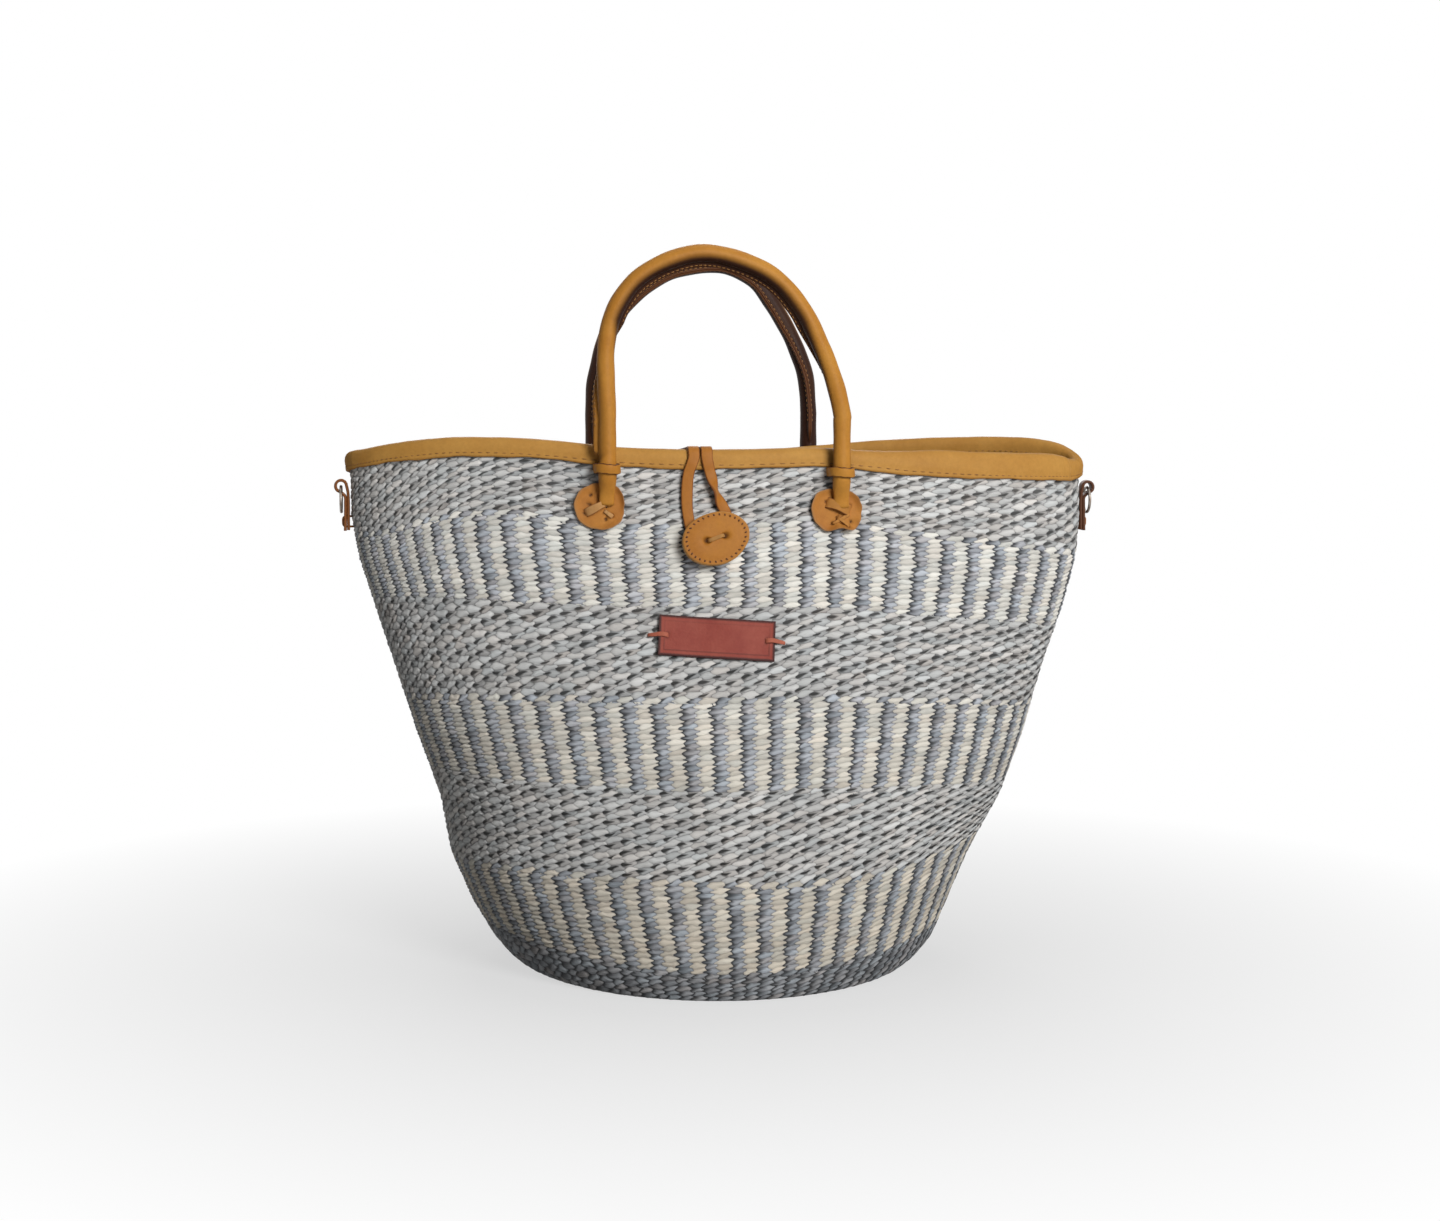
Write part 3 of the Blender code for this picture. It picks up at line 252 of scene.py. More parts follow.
class Tone:
    """A value on a surface. Sums of tones add Math nodes to the material that they belong to."""

    def __init__(self, socket):
        self.socket = socket

    def new(self, kind, settings=None, sockets=None, output=0):
        """Adds a node of a kind: its settings first, then the values or links of its sockets."""
        node = self.socket.id_data.nodes.new("ShaderNode" + kind)
        for name, value in (settings or {}).items():
            if name == "stops":
                while len(node.color_ramp.elements) < len(value):
                    node.color_ramp.elements.new(1.0)
                for element, (position, colour) in zip(node.color_ramp.elements, value):
                    element.position = position
                    element.color = (*colour, 1.0)
            elif name == "interpolation":
                node.color_ramp.interpolation = value
            else:
                setattr(node, name, value)
        for key, value in (sockets or {}).items():
            if isinstance(value, Tone):
                self.socket.id_data.links.new(value.socket, node.inputs[key])
            else:
                node.inputs[key].default_value = value
        return Tone(node.outputs[output])

    def math(self, operation, first, second=0.0):
        return self.new("Math", {"operation": operation}, {0: first, 1: second})

    def __add__(self, other):
        return self.math("ADD", self, other)

    __radd__ = __add__

    def __sub__(self, other):
        return self.math("SUBTRACT", self, other)

    def __rsub__(self, other):
        return self.math("SUBTRACT", other, self)

    def __mul__(self, other):
        return self.math("MULTIPLY", self, other)

    __rmul__ = __mul__

    def __pow__(self, other):
        return self.math("POWER", self, other)

    def __mod__(self, other):
        return self.math("FLOORED_MODULO", self, other)

    def __abs__(self):
        return self.math("ABSOLUTE", self)

    def __gt__(self, other):
        return self.math("GREATER_THAN", self, other)

    def floor(self):
        return self.math("FLOOR", self)

    def sine(self):
        return self.math("SINE", self)

    def clamped(self):
        return self.new("Clamp", None, {"Value": self})

    def between(self, low, high):
        """0 where this tone is at low, 1 where it is at high."""
        return self.new("MapRange", None, {"Value": self, "From Min": low, "From Max": high})

    def blend(self, dark, light):
        """One colour where this tone is 0, the other where it is 1."""
        ends = {6: as_colour(dark), 7: as_colour(light)}
        return self.new("Mix", {"data_type": "RGBA"}, {0: self, **ends}, 2)

    def scaled(self, amount):
        """This colour, lighter or darker by an amount."""
        return self.new("VectorMath", {"operation": "SCALE"}, {0: self, "Scale": amount})

    def parts(self):
        node = self.new("SeparateXYZ", None, {0: self}).socket.node
        return [Tone(output) for output in node.outputs]

    def noise(self, scale, detail=2.0, roughness=0.5):
        """Soft spots over the place that this tone holds."""
        sockets = {"Vector": self, "Scale": scale, "Detail": detail, "Roughness": roughness}
        return self.new("TexNoise", None, sockets)

    def vector(self, x, y, z):
        return self.new("CombineXYZ", None, {0: x, 1: y, 2: z})

    def marked(self, name):
        """A value kept at the points of the mesh."""
        return self.new("Attribute", {"attribute_name": name}, None, "Fac")

    def bump(self, strength, depth):
        """This tone as fine relief of the surface."""
        return self.new("Bump", None, {"Strength": strength, "Distance": depth, "Height": self})


def as_colour(colour):
    return colour if isinstance(colour, Tone) else (*colour, 1.0)


def new_finish(name, roughness, **constants):
    """A new material, its shader, and the surface's place in metres to start its tones from."""
    material = bpy.data.materials.new(name)
    material.use_nodes = True
    shader = material.node_tree.nodes["Principled BSDF"]
    shader.inputs["Roughness"].default_value = roughness
    for socket, value in constants.items():
        shader.inputs[socket.replace("_", " ")].default_value = value
    place = material.node_tree.nodes.new("ShaderNodeTexCoord").outputs["Object"]
    return material, shader, Tone(place)


def lay_on(shader, **tones):
    """Links tones to the shader's sockets."""
    for socket, tone in tones.items():
        shader.id_data.links.new(tone.socket, shader.inputs[socket.replace("_", " ")])


CREAM_STRAND = (0.68, 0.62, 0.52)
WHITE_STRAND = (0.80, 0.78, 0.72)
SILVER_STRAND = (0.65, 0.645, 0.63)
SLATE_STRAND = (0.36, 0.38, 0.41)
BLUE_STRAND = (0.47, 0.49, 0.53)
GREY_STRAND = (0.47, 0.465, 0.455)
FOOT_STRAND = (0.32, 0.33, 0.345)
WARM_STRAND = (0.75, 0.55, 0.40)
COOL_STRAND = (0.30, 0.42, 0.48)
GAP_SHADE = (0.035, 0.035, 0.037)


def twined_sisal(name, mirrored):
    material, shader, point = new_finish(name, 0.8, Specular_IOR_Level=0.2)
    along, up, _ = point.new("UVMap", {"uv_map": "weave"}).parts()
    slope = point.marked("slant")
    place = along + STITCH_SWAY * (up * math.tau).sine()
    rib = place.floor()
    across = place - rib
    rise = up - slope * (across - 0.5)
    row = rise.floor()
    belly = 1 - abs(2 * (rise - row) - 1) ** 2.2
    ends = 1 - abs(2 * across - 1) ** 3.2
    fullness = (belly * ends).clamped() ** 0.5
    stops = [(0.0, (0, 0, 0))]
    for low, high in STRIPE_ROWS:
        stops += [(low / ROWS, (1, 0, 0)), (high / ROWS, (1, 1, 0))]
    level = row * (1 / ROWS) + 0.001
    bands = level.new("ValToRGB", {"stops": stops, "interpolation": "CONSTANT"}, {0: level})
    two_tone, mixed, _ = bands.parts()
    is_light = two_tone * ((rib + row * mixed) % 2 > 0.5)
    stitch = {"Vector": point.vector(rib, row, 0.0)}
    chances = point.new("TexWhiteNoise", {"noise_dimensions": "2D"}, stitch, "Color")
    chance, tint, length = chances.parts()
    streaks = point.vector(place * 2.2, rise * 11, chance * 40).noise(1.0, 3.0, 0.7)
    mottle = point.noise(26, 4.0, 0.6)
    # Lower down, the light strands blend to the darker cream and the blue-grey ones to the darker slate.
    # This is partly a change of the strands' tone and partly painted shade.
    cream = level.between(0.1, 0.8).blend(CREAM_STRAND, WHITE_STRAND)
    light = mixed.blend(cream, SILVER_STRAND)
    blue = level.between(0.1, 0.75).blend(SLATE_STRAND, BLUE_STRAND)
    dark = two_tone.blend(FOOT_STRAND, mixed.blend(blue, GREY_STRAND))
    strand = is_light.blend(dark, light)
    strand = (tint.between(0.55, 1.0) * 0.14).blend(strand, WARM_STRAND)
    strand = (tint.between(0.35, 0.0) * 0.16).blend(strand, COOL_STRAND)
    from_left = 1 - across if mirrored else across
    spread = 0.85 * streaks + 0.5 * chance - 0.62
    aside = (from_left - 0.22) * (3.6 - 0.9 * length)
    above = (rise - row - 0.5) * 2.6
    # Painted shadow on the dark stitches: a spot beside each light stroke in the swapping bands, and
    # elsewhere the left part of each dark stitch, where it tucks under its light neighbour. Lower down the
    # spots are darker.
    spot = (1.35 - aside * aside - above * above).clamped() * mixed
    tucked = (1 - is_light) * (1 - mixed) * (1 - from_left.between(0.12, 0.36 + 0.36 * length))
    painted_stitch_shadow = (tucked * 0.82 + spot * (1 - is_light) * (0.97 - 0.15 * level)).clamped()
    # Painted shade: the stitches grow darker towards the foot of the wall.
    shade_by_height = 0.82 + 0.14 * level.between(0.05, 0.95)
    strength = shade_by_height * (0.98 + (1.15 - 0.45 * is_light) * spread) * (0.84 + 0.32 * mottle) * (1 - painted_stitch_shadow)
    # Painted shade in the gaps between stitches, weaker between light strands.
    painted_gap_shade = ((1 - fullness) ** 1.5) * (0.92 - 0.32 * is_light)
    lay_on(shader, Base_Color=painted_gap_shade.blend(strand.scaled(strength), GAP_SHADE),
           Normal=(fullness * 0.4 + streaks * 0.9).bump(0.4, 0.0007))
    return material


OUTER_SISAL = twined_sisal("twined sisal outside", False)
INNER_SISAL = twined_sisal("twined sisal inside", True)


def bake_places(rows, count, strips, lengthwise=False):
    """Map places for the finished colours: the net cut into strips that lie one above another."""
    row, column = np.meshgrid(np.arange(rows), np.arange(count), indexing="ij")
    if lengthwise:
        row, column, rows, count = column, row, count, rows
    corners = [(0, 0), (0, 1), (1, 1), (1, 0)]
    places = []
    per_strip = math.ceil(count / strips)
    strip = column // per_strip
    for up, along in corners:
        if lengthwise:
            up, along = along, up
        x = 0.02 + 0.96 * (column + along - strip * per_strip) / per_strip
        y = (strip + 0.04 + 0.92 * (row + up) / rows) / strips
        places.append(np.stack([x, y], axis=-1))
    return np.stack(places, axis=2)


def row_share(up, turn):
    """Share of the wall's height that rows reach at turns. Each band spreads its rows evenly."""
    share = np.zeros_like(up)
    edges = sorted(EDGE_SHARES)
    for low, high in zip(edges, edges[1:]):
        share += np.clip((up - low) / (high - low), 0, 1) * (edge_share(high, turn) - edge_share(low, turn))
    return share


def woven_band(name, low, high, ribs, start, crowd, fine_along, fine_up, inside):
    """Rows of stitches all round the wall, on its outer or inner side. The edges tuck under."""
    level = np.arange(low * fine_up, high * fine_up + 1) / fine_up
    level = np.concatenate([[low - EDGE_TUCK], level, [high + EDGE_TUCK]])
    tucked = np.zeros(len(level))
    tucked[0] = tucked[-1] = 1.0
    column = np.arange(-ribs // 2 * fine_along, ribs // 2 * fine_along) / fine_along
    columns, levels = np.meshgrid(column, level)
    slope = slope_at(levels) * (-1 if inside else 1)
    up = levels + slope * 0.22 * np.sin(math.tau * (columns % 1 - 0.5))
    along = columns - STITCH_SWAY * np.sin(math.tau * up)
    round_turn = along / ribs * math.tau
    laid = along + start + 0.20 * hand_wander(round_turn, up, 1.0)
    pulled = up + 0.34 * hand_wander(round_turn, up, 2.0) * np.clip(np.minimum(up, ROWS - up) / 2, 0, 1)
    middle = row_share(np.array([(low + high) / 2]), math.pi)[0]
    turn = even_turns(middle, laid / ribs, crowd)
    relief = stitch_relief(along, up, slope) - 1 - 0.6 * tucked[:, None]
    stand = -WALL_THICKNESS - relief * STITCH_DEPTH if inside else relief * STITCH_DEPTH
    share = row_share(pulled, turn)
    points = wall(turn, share) + wall_normal(turn, share) * stand[..., None]
    places = corner_places(np.stack([along, up], axis=-1), ribs)
    maps = {"weave": places, "OFBake": bake_places(len(level) - 1, len(column), 4)}
    mesh = quad_mesh(name, points, maps, flipped=inside)
    mark(mesh, "slant", slope)
    return mesh


for word, low, high, ribs, start, crowd in BANDS:
    name = "weave_" + word
    band = woven_band(name, low, high, ribs, start, crowd, 8, 4, False)
    show(name, band, OUTER_SISAL, "basket", "sisal", "woven_body")
lining = woven_band("weave_inside", 1, ROWS, 108, -1.0, 0.0, 4, 2, True)
show("weave_inside", lining, INNER_SISAL, "basket", "sisal", "woven_body")

# Round base. The same strands, twined round ribs that fan out from the middle, make the disc
# that the basket stands on. Towards the middle every other rib ends, so the stitches stay even.
BASE_ROWS = 43
BASE_RIBS = 104
BASE_STAND = 0.0004


def woven_disc(name, inside):
    level = -np.arange(BASE_ROWS * 2 + 1) / 2
    column = np.arange(BASE_RIBS * 4) / 4
    columns, levels = np.meshgrid(column, level)
    radius = 1 + levels / BASE_ROWS * 0.995
    per_stitch = np.select([radius > 0.55, radius > 0.27, radius > 0.13], [1, 2, 4], 8)
    places = columns / per_stitch
    relief = stitch_relief(places, levels, SLOPES[0])
    turn = columns / BASE_RIBS * math.tau
    rim = wall(turn, np.zeros_like(turn))
    points = rim * radius[..., None]
    if inside:
        points[..., 2] = WALL_THICKNESS - STITCH_DEPTH + relief * STITCH_DEPTH
    else:
        points[..., 2] = BASE_STAND + STITCH_DEPTH - relief * STITCH_DEPTH
    stitch_places = np.stack([places, levels], axis=-1)
    last = np.stack([(columns[:, :1] + BASE_RIBS) / per_stitch[:, :1], levels[:, :1]], axis=-1)
    corners = corner_places(np.concatenate([stitch_places, last], axis=1))
    flat = np.stack([points[..., 0], points[..., 1]], axis=-1) / (2.1 * BASE_RADIUS) + 0.5
    flat = np.concatenate([flat, flat[:, :1]], axis=1)
    mesh = quad_mesh(name, points, {"weave": corners, "OFBake": corner_places(flat)}, flipped=not inside)
    mark(mesh, "slant", np.full(points.shape[:2], SLOPES[0]))
    return mesh


for name, inside in (("weave_base_outside", False), ("weave_base_inside", True)):
    show(name, woven_disc(name, inside), OUTER_SISAL, "basket", "sisal", "woven_body")

# Leather binding. One long strip, folded over the woven edge and sewn through both falls. It
# puffs over the strands, stands highest at the right front, laps over itself near the right
# end, and gathers round both ends.
BINDING_PROFILE = np.array((
    (-0.0086, 0.0003), (-0.0090, 0.0011), (-0.0087, 0.0020), (-0.0075, 0.0023), (-0.0064, 0.0021),
    (-0.0048, 0.0025), (-0.0026, 0.0027), (-0.0005, 0.0024), (0.0011, 0.0016), (0.0021, 0.0002),
    (0.0026, -0.0018), (0.0022, -0.0038), (0.0011, -0.0051), (-0.0006, -0.0059), (-0.0030, -0.0062),
    (-0.0050, -0.0060), (-0.0070, -0.0058), (-0.0084, -0.0055), (-0.0089, -0.0047), (-0.0086, -0.0039)))
BINDING_STEPS = 900
JOINT_TURN = 1.24
LAP_RISE = 0.0006
# Where the leather gathers, over how wide a turn, and how much
GATHERS = ((1.47, 0.22, 1.0), (4.80, 0.20, 0.5))
CROWN_TURNS = (0.34, 0.64, 1.08, 1.42)
CROWN_RISE = 0.0058


def waviness(turn, *waves):
    """Small uneven swell along an edge, from waves given as count round, start and size."""
    return sum(size * np.sin(count * turn + start) for count, start, size in waves)


def round_angles(count):
    return np.arange(count) / count * math.tau


def eased(share):
    """A share from 0 to 1 with a soft start and a soft end."""
    return share * share * (3 - 2 * share)


def rim_place(turn, rise, stand):
    """Places at a rise above the woven edge and a stand outside the wall, at turns."""
    edge = edge_height(turn)
    share = np.clip((edge + np.minimum(rise, 0.0)) / edge, 0, 1)
    face = wall(turn, share)
    out = wall_normal(turn, share)
    out[..., 2] = 0
    points = face + unit(out) * np.asarray(stand)[..., None]
    points[..., 2] = edge + rise
    return points


HOLE_SHADE = (0.03, 0.010, 0.005)


def leather(name, colour, deep, roughness=0.52, edge=None, grain=1.0, seam_and_shadow_tone=None):
    """Vegetable-tanned leather: soft mottling, fine grain, and cut edges of another tone, with painted shade
    in punched holes and, where given, a dark seam tone that is partly painted shadow.
    """
    material, shader, point = new_finish(name, roughness, Specular_IOR_Level=0.16)
    mottle = point.noise(45, 4.0, 0.6)
    clouds = point.noise(11, 2.0, 0.5)
    creases = point.noise(420, 4.0, 0.65)
    pores = point.new("TexVoronoi", None, {"Vector": point, "Scale": 1300.0})
    hide = (mottle * 0.6 + clouds * 0.4).between(0.36, 0.64).blend(deep, colour)
    tone = hide.scaled(0.84 + 0.32 * creases)
    # The dark tone by a seam is partly the seam's own dark raw edges and partly painted shadow on the
    # underside of a handle.
    if seam_and_shadow_tone:
        tone = (point.marked("shade") * (0.75 + 0.5 * clouds)).clamped().blend(tone, seam_and_shadow_tone)
    if edge:
        tone = point.marked("edge").blend(tone, edge)
    tone = point.marked("hole").blend(tone, HOLE_SHADE)
    relief = (creases + pores * 0.35) * grain
    lay_on(shader, Base_Color=tone, Roughness=roughness - 0.10 + 0.25 * mottle,
           Normal=relief.bump(0.28, 0.0005))
    return material


BINDING_LEATHER = leather("binding leather", (0.51, 0.262, 0.060), (0.42, 0.20, 0.040), 0.58,
                          (0.22, 0.085, 0.022))
turns = round_angles(BINDING_STEPS)
rim_turns, rise = np.meshgrid(turns, BINDING_PROFILE[:, 0])
_, stand = np.meshgrid(turns, BINDING_PROFILE[:, 1])
puff = waviness(turns, (7, 0.4, 0.00012), (13, 2.0, 0.00012), (31, 1.1, 0.00007), (67, 0.3, 0.00004))
near_gather = sum(much * np.exp(-((turns - turn) / reach) ** 2) for turn, reach, much in GATHERS)
gathers = near_gather * np.sin(310 * turns + 3 * np.sin(23 * turns)) * 0.00032
from_joint = np.clip(JOINT_TURN - turns, 0, 9)
lap = LAP_RISE * np.clip(from_joint * 300, 0, 1) * np.exp(-from_joint / 0.05)
outness = np.sign(stand + WALL_THICKNESS / 2)
stand = stand + outness * (puff + gathers + lap)
on_crown = np.clip(rise / 0.003, 0, 1)
raised = CROWN_RISE * eased(np.interp(turns, CROWN_TURNS, (0, 1, 1, 0)))
rise = rise + on_crown * (puff + gathers + lap + raised)
below = np.clip(-rise / 0.0085, 0, 1) ** 6
rise = rise + below * waviness(turns, (9, 0.0, 0.0003), (23, 1.0, 0.00025), (57, 2.0, 0.00015))
rim_points = rim_place(rim_turns, rise, stand)
edge_worn = np.zeros(rim_points.shape[:2])
edge_worn[[0, 1, 2, -3, -2, -1]] = ((0.9,), (0.8,), (0.3,), (0.3,), (0.8,), (0.9,))
binding_places = bake_places(len(BINDING_PROFILE) - 1, BINDING_STEPS, 6)
binding_mesh = quad_mesh("binding", rim_points, {"OFBake": binding_places})
mark(binding_mesh, "edge", edge_worn)
show("binding", binding_mesh, BINDING_LEATHER, "basket", "binding_leather", "rim_binding")

# Binding stitches. Waxed thread in short running stitches a little above each fall's lower edge.
STITCH_COUNT = 236
STITCH_RISE = -0.0065
STITCH_RADIUS = 0.00022
# Which way a stitch looks, and its stand outside the wall
STITCH_STANDS = ((1, 0.00235), (-1, -0.0059))


def thread_mesh(name, paths, outs, radius):
    """Short rounded stitches, one along each path of points, laid on a face that looks outs."""
    count, steps = paths.shape[:2]
    tangents = unit(np.gradient(paths, axis=1))
    sides = unit(np.cross(tangents, outs))
    ups = np.cross(sides, tangents)
    share = np.linspace(-1, 1, steps)
    girth = radius * np.sqrt(1.05 - share ** 4)[None, :, None, None]
    angle = round_angles(6)
    cosines = np.cos(angle)[None, None, :, None]
    sines = np.sin(angle)[None, None, :, None]
    points = paths[:, :, None] + girth * (cosines * sides[:, :, None] + sines * ups[:, :, None])
    quads = corners_of(steps, 6, True)[None] + (np.arange(count) * steps * 6)[:, None, None, None]
    return quad_mesh(name, points, {}, quads=quads)


def waxed_thread(name, colour):
    material, shader, point = new_finish(name, 0.6, Specular_IOR_Level=0.3)
    fibres = point.noise(2600, 2.0, 0.6)
    shaded, lit = ([much * part for part in colour] for much in (0.6, 1.3))
    lay_on(shader, Base_Color=fibres.blend(shaded, lit), Normal=fibres.bump(0.3, 0.0002))
    return material


BROWN_THREAD = waxed_thread("brown waxed thread", (0.30, 0.14, 0.04))
stitch_runs = []
stitch_outs = []
for facing, stand in STITCH_STANDS:
    middles = (np.arange(STITCH_COUNT) + 0.5) / STITCH_COUNT * math.tau
    reach = np.array((-0.30, -0.17, 0.0, 0.17, 0.30)) / STITCH_COUNT * math.tau
    lift = np.array((-0.0004, 0.0001, 0.00025, 0.0001, -0.0004))
    stitch_turns = middles[:, None] + reach[None]
    stands = stand + facing * lift[None] * np.ones_like(stitch_turns)
    stitch_runs.append(rim_place(stitch_turns, np.full_like(stitch_turns, STITCH_RISE), stands))
    out = wall_normal(stitch_turns, np.full_like(stitch_turns, 0.96))
    stitch_outs.append(facing * out)
stitches = thread_mesh("binding_stitches", np.concatenate(stitch_runs), np.concatenate(stitch_outs),
                       STITCH_RADIUS)
show("binding_stitches", stitches, BROWN_THREAD, "basket", "thread", "rim_stitching")

# Handles. A strip of leather is closed round a rope and sewn, so that a seam with two raw edges
# stands along it. On the arch the seam leans up from the side that faces the mouth, and on the
# front handle's left leg it turns outward. Each end flattens under its thongs.
HANDLE_RADIUS = 0.0053
HANDLE_MIDDLE = {FRONT: -0.0012, BACK: 0.0010}
HANDLE_HALF_SPAN = 0.0708
ARCH_FOOT = 0.335
BEND_FOOT = 0.317
ARCH_RISE = 0.0987
ARCH_SHARES = {
    FRONT: ((-0.99, 0.04), (-1.0, 0.25), (-1.0, 0.42), (-0.96, 0.59), (-0.87, 0.73), (-0.72, 0.855),
            (-0.48, 0.952), (-0.20, 1.0), (0.10, 0.965), (0.41, 0.86), (0.64, 0.68), (0.823, 0.425),
            (0.93, 0.22), (0.99, 0.04)),
    BACK: ((-0.99, 0.04), (-0.985, 0.20), (-0.945, 0.34), (-0.86, 0.55), (-0.71, 0.725), (-0.50, 0.865),
           (-0.25, 0.959), (0.084, 1.0), (0.29, 0.975), (0.50, 0.89), (0.65, 0.75), (0.80, 0.57),
           (0.90, 0.41), (0.965, 0.26), (0.99, 0.04))}
LEG_Y = {FRONT: -0.06996, BACK: 0.06961}
LEG_X = {(FRONT, LEFT): -0.07129, (FRONT, RIGHT): 0.06889,
         (BACK, LEFT): -0.06909, (BACK, RIGHT): 0.07109}
KEEPER_Z = {(FRONT, LEFT): 0.30618, (FRONT, RIGHT): 0.30357,
            (BACK, LEFT): 0.2977, (BACK, RIGHT): 0.30237}
KEEPER_TO_PATCH = 0.022
PATCH_Z = {leg: height - KEEPER_TO_PATCH for leg, height in KEEPER_Z.items()}
ROUTE_STEP = 0.0016
FLAT_START = 0.003
FLAT_LENGTH = 0.013
SEAM_FOOT = 0.319
SEAM_TURN_FOOT = 0.3105
SEAM_TURN = 1.35
SEAM_STITCH_FOOT = 0.329
SEAM_LEAN = {FRONT: 1.15, BACK: 0.45}
FACE_WORDS = {FRONT: "front", BACK: "back"}
END_WORDS = {LEFT: "left", RIGHT: "right"}
LEG_NAMES = {(side, end): FACE_WORDS[side] + "_" + END_WORDS[end]
             for side in (FRONT, BACK) for end in (LEFT, RIGHT)}
SEAM_DEPTH = 0.0032
SEAM_PROFILE = ((0.00120, 0.0), (0.00130, 0.45), (0.00130, 0.8), (0.00095, 1.0), (0.00040, 1.02),
                (0.0, 0.82))


def wall_frame(x, height, side):
    """Place on the front or back outer face, with its level, rising and outward directions."""
    turn = np.linspace(-1.45, 1.45, 581)
    turn = turn if side == FRONT else math.pi - turn
    points = wall(turn, height / edge_height(turn))
    here = np.interp(x, points[:, 0], turn)
    share = height / edge_height(here)
    out = wall_normal(here, share)
    level = unit(np.cross((0, 0, 1), out)) * -side
    return wall(here, share), level, np.cross(out, level) * -side, out


def on_wall(x, height, side, stand):
    place, _, _, out = wall_frame(x, height, side)
    return place + out * stand


def soft_path(corners, spacing):
    """Evenly spaced points along a smooth curve through the corners."""
    corners = np.array(corners, float)
    padded = np.vstack([2 * corners[0] - corners[1], corners, 2 * corners[-1] - corners[-2]])
    share = np.linspace(0, 1, 24, endpoint=False)[:, None]
    line = []
    for before, low, high, after in zip(padded, padded[1:], padded[2:], padded[3:]):
        line.append(curve_between(before, low, high, after, share))
    line = np.vstack([*line, corners[-1:]])
    run = np.concatenate([[0], np.cumsum(np.linalg.norm(np.diff(line, axis=0), axis=1))])
    stops = np.linspace(0, run[-1], max(3, round(run[-1] / spacing)) + 1)
    return np.stack([np.interp(stops, run, line[:, axis]) for axis in range(3)], axis=1)


# The near-black tone by the seam is the seam's dark edges together with painted shadow on the handles'
# undersides.
TAN_LEATHER = leather("tan handle leather", (0.50, 0.225, 0.036), (0.41, 0.165, 0.022), 0.48,
                      (0.10, 0.034, 0.010), seam_and_shadow_tone=(0.026, 0.0070, 0.0022))


def handle_route(side):
    y = LEG_Y[side]
    ends = []
    for end in (LEFT, RIGHT):
        x = LEG_X[side, end]
        tip = on_wall(x, PATCH_Z[side, end] + 0.0012, side, 0.0042)
        keeper = KEEPER_Z[side, end]
        shoulder = (x, tip[1] + 0.55 * (y - tip[1]), tip[2] + 0.55 * (keeper - tip[2]))
        ends.append([tip, shoulder, (x, y, keeper), (x, y, BEND_FOOT), (x, y, ARCH_FOOT)])
    arch = [(HANDLE_MIDDLE[side] + HANDLE_HALF_SPAN * across, y, ARCH_FOOT + ARCH_RISE * up)
            for across, up in ARCH_SHARES[side]]
    return soft_path([*ends[0], *arch, *ends[1][::-1]], ROUTE_STEP)


def sleeve(side):
    """Net of points round a handle from tip to tip, how raw and how shaded it is, and its route."""
    route = handle_route(side)
    tangent = unit(np.gradient(route, axis=0))
    mouth = np.array((0.0, -side, 0.0))
    inward = unit(mouth - tangent * (tangent @ mouth)[:, None])
    height = route[:, 2]
    arched = np.clip((height - ARCH_FOOT) / 0.06, 0, 1) ** 1.5
    turned = (1 - arched) * np.clip((height - SEAM_TURN_FOOT) / 0.006, 0, 1)
    turned = turned * (route[:, 0] < 0) * (side == FRONT)
    lean = SEAM_LEAN[side] * arched - SEAM_TURN * turned
    under = np.cross(tangent, inward) * side
    inward = inward * np.cos(lean)[:, None] + under * np.sin(lean)[:, None]
    across = np.cross(tangent, inward)
    keeper = np.where(route[:, 0] < 0, KEEPER_Z[side, LEFT], KEEPER_Z[side, RIGHT])
    flat = eased(np.clip((keeper - FLAT_START - height) / FLAT_LENGTH, 0, 1))
    run = np.arange(len(route)) * ROUTE_STEP
    swell = 1 + 0.02 * np.sin(run * 130 + side) + 0.015 * np.sin(run * 310 + 2)
    wide = HANDLE_RADIUS * swell * (1 - 0.14 * flat)
    deep = HANDLE_RADIUS * swell * (1 - 0.62 * flat)
    fin = SEAM_DEPTH * np.clip((height - SEAM_FOOT + 0.009 * turned) / 0.008, 0, 1)
    half = math.asin(SEAM_PROFILE[0][0] / HANDLE_RADIUS)
    angles = np.linspace(half, math.tau - half, 31)
    columns = []
    raw = []
    shade = []
    for angle in angles:
        columns.append((np.sin(angle) * wide, np.cos(angle) * deep))
        raw.append(0.0)
        # Painted shadow: the side of the round nearest the seam takes the dark seam tone, in full or in
        # part. On the arch, that side is the underside.
        shade.append(min(1.0, max(0.0, (math.cos(angle) + 0.50) / 0.75)))
    lip = [(-aside, share) for aside, share in SEAM_PROFILE[1:]]
    for aside, share in (*lip, *SEAM_PROFILE[-2:0:-1]):
        columns.append((aside * (0.25 + 0.75 * fin / SEAM_DEPTH), deep * math.cos(half) + fin * share))
        raw.append(1.0 if share > 0.9 or share == 0.82 else 0.35 * share)
        shade.append(1.0)
    columns = [route + across * aside[:, None] + inward * out[:, None] for aside, out in columns]
    points = np.stack(columns, axis=1)
    tips = [route[:1, None] + 0 * points[:1], route[-1:, None] + 0 * points[:1]]
    points = np.concatenate([tips[0], points, tips[1]])
    sewn = np.concatenate([[0], fin / SEAM_DEPTH, [0]])[:, None]
    # The dark seam tone, partly painted shadow, fades out low on the legs and on the front handle's turned
    # left leg.
    shade_by_height = np.concatenate([[0], np.clip((height - 0.296) / 0.012, 0, 1) * (1 - 0.8 * turned), [0]])[:, None]
    return points, np.array(raw) * sewn, np.array(shade) * shade_by_height, route, inward, across


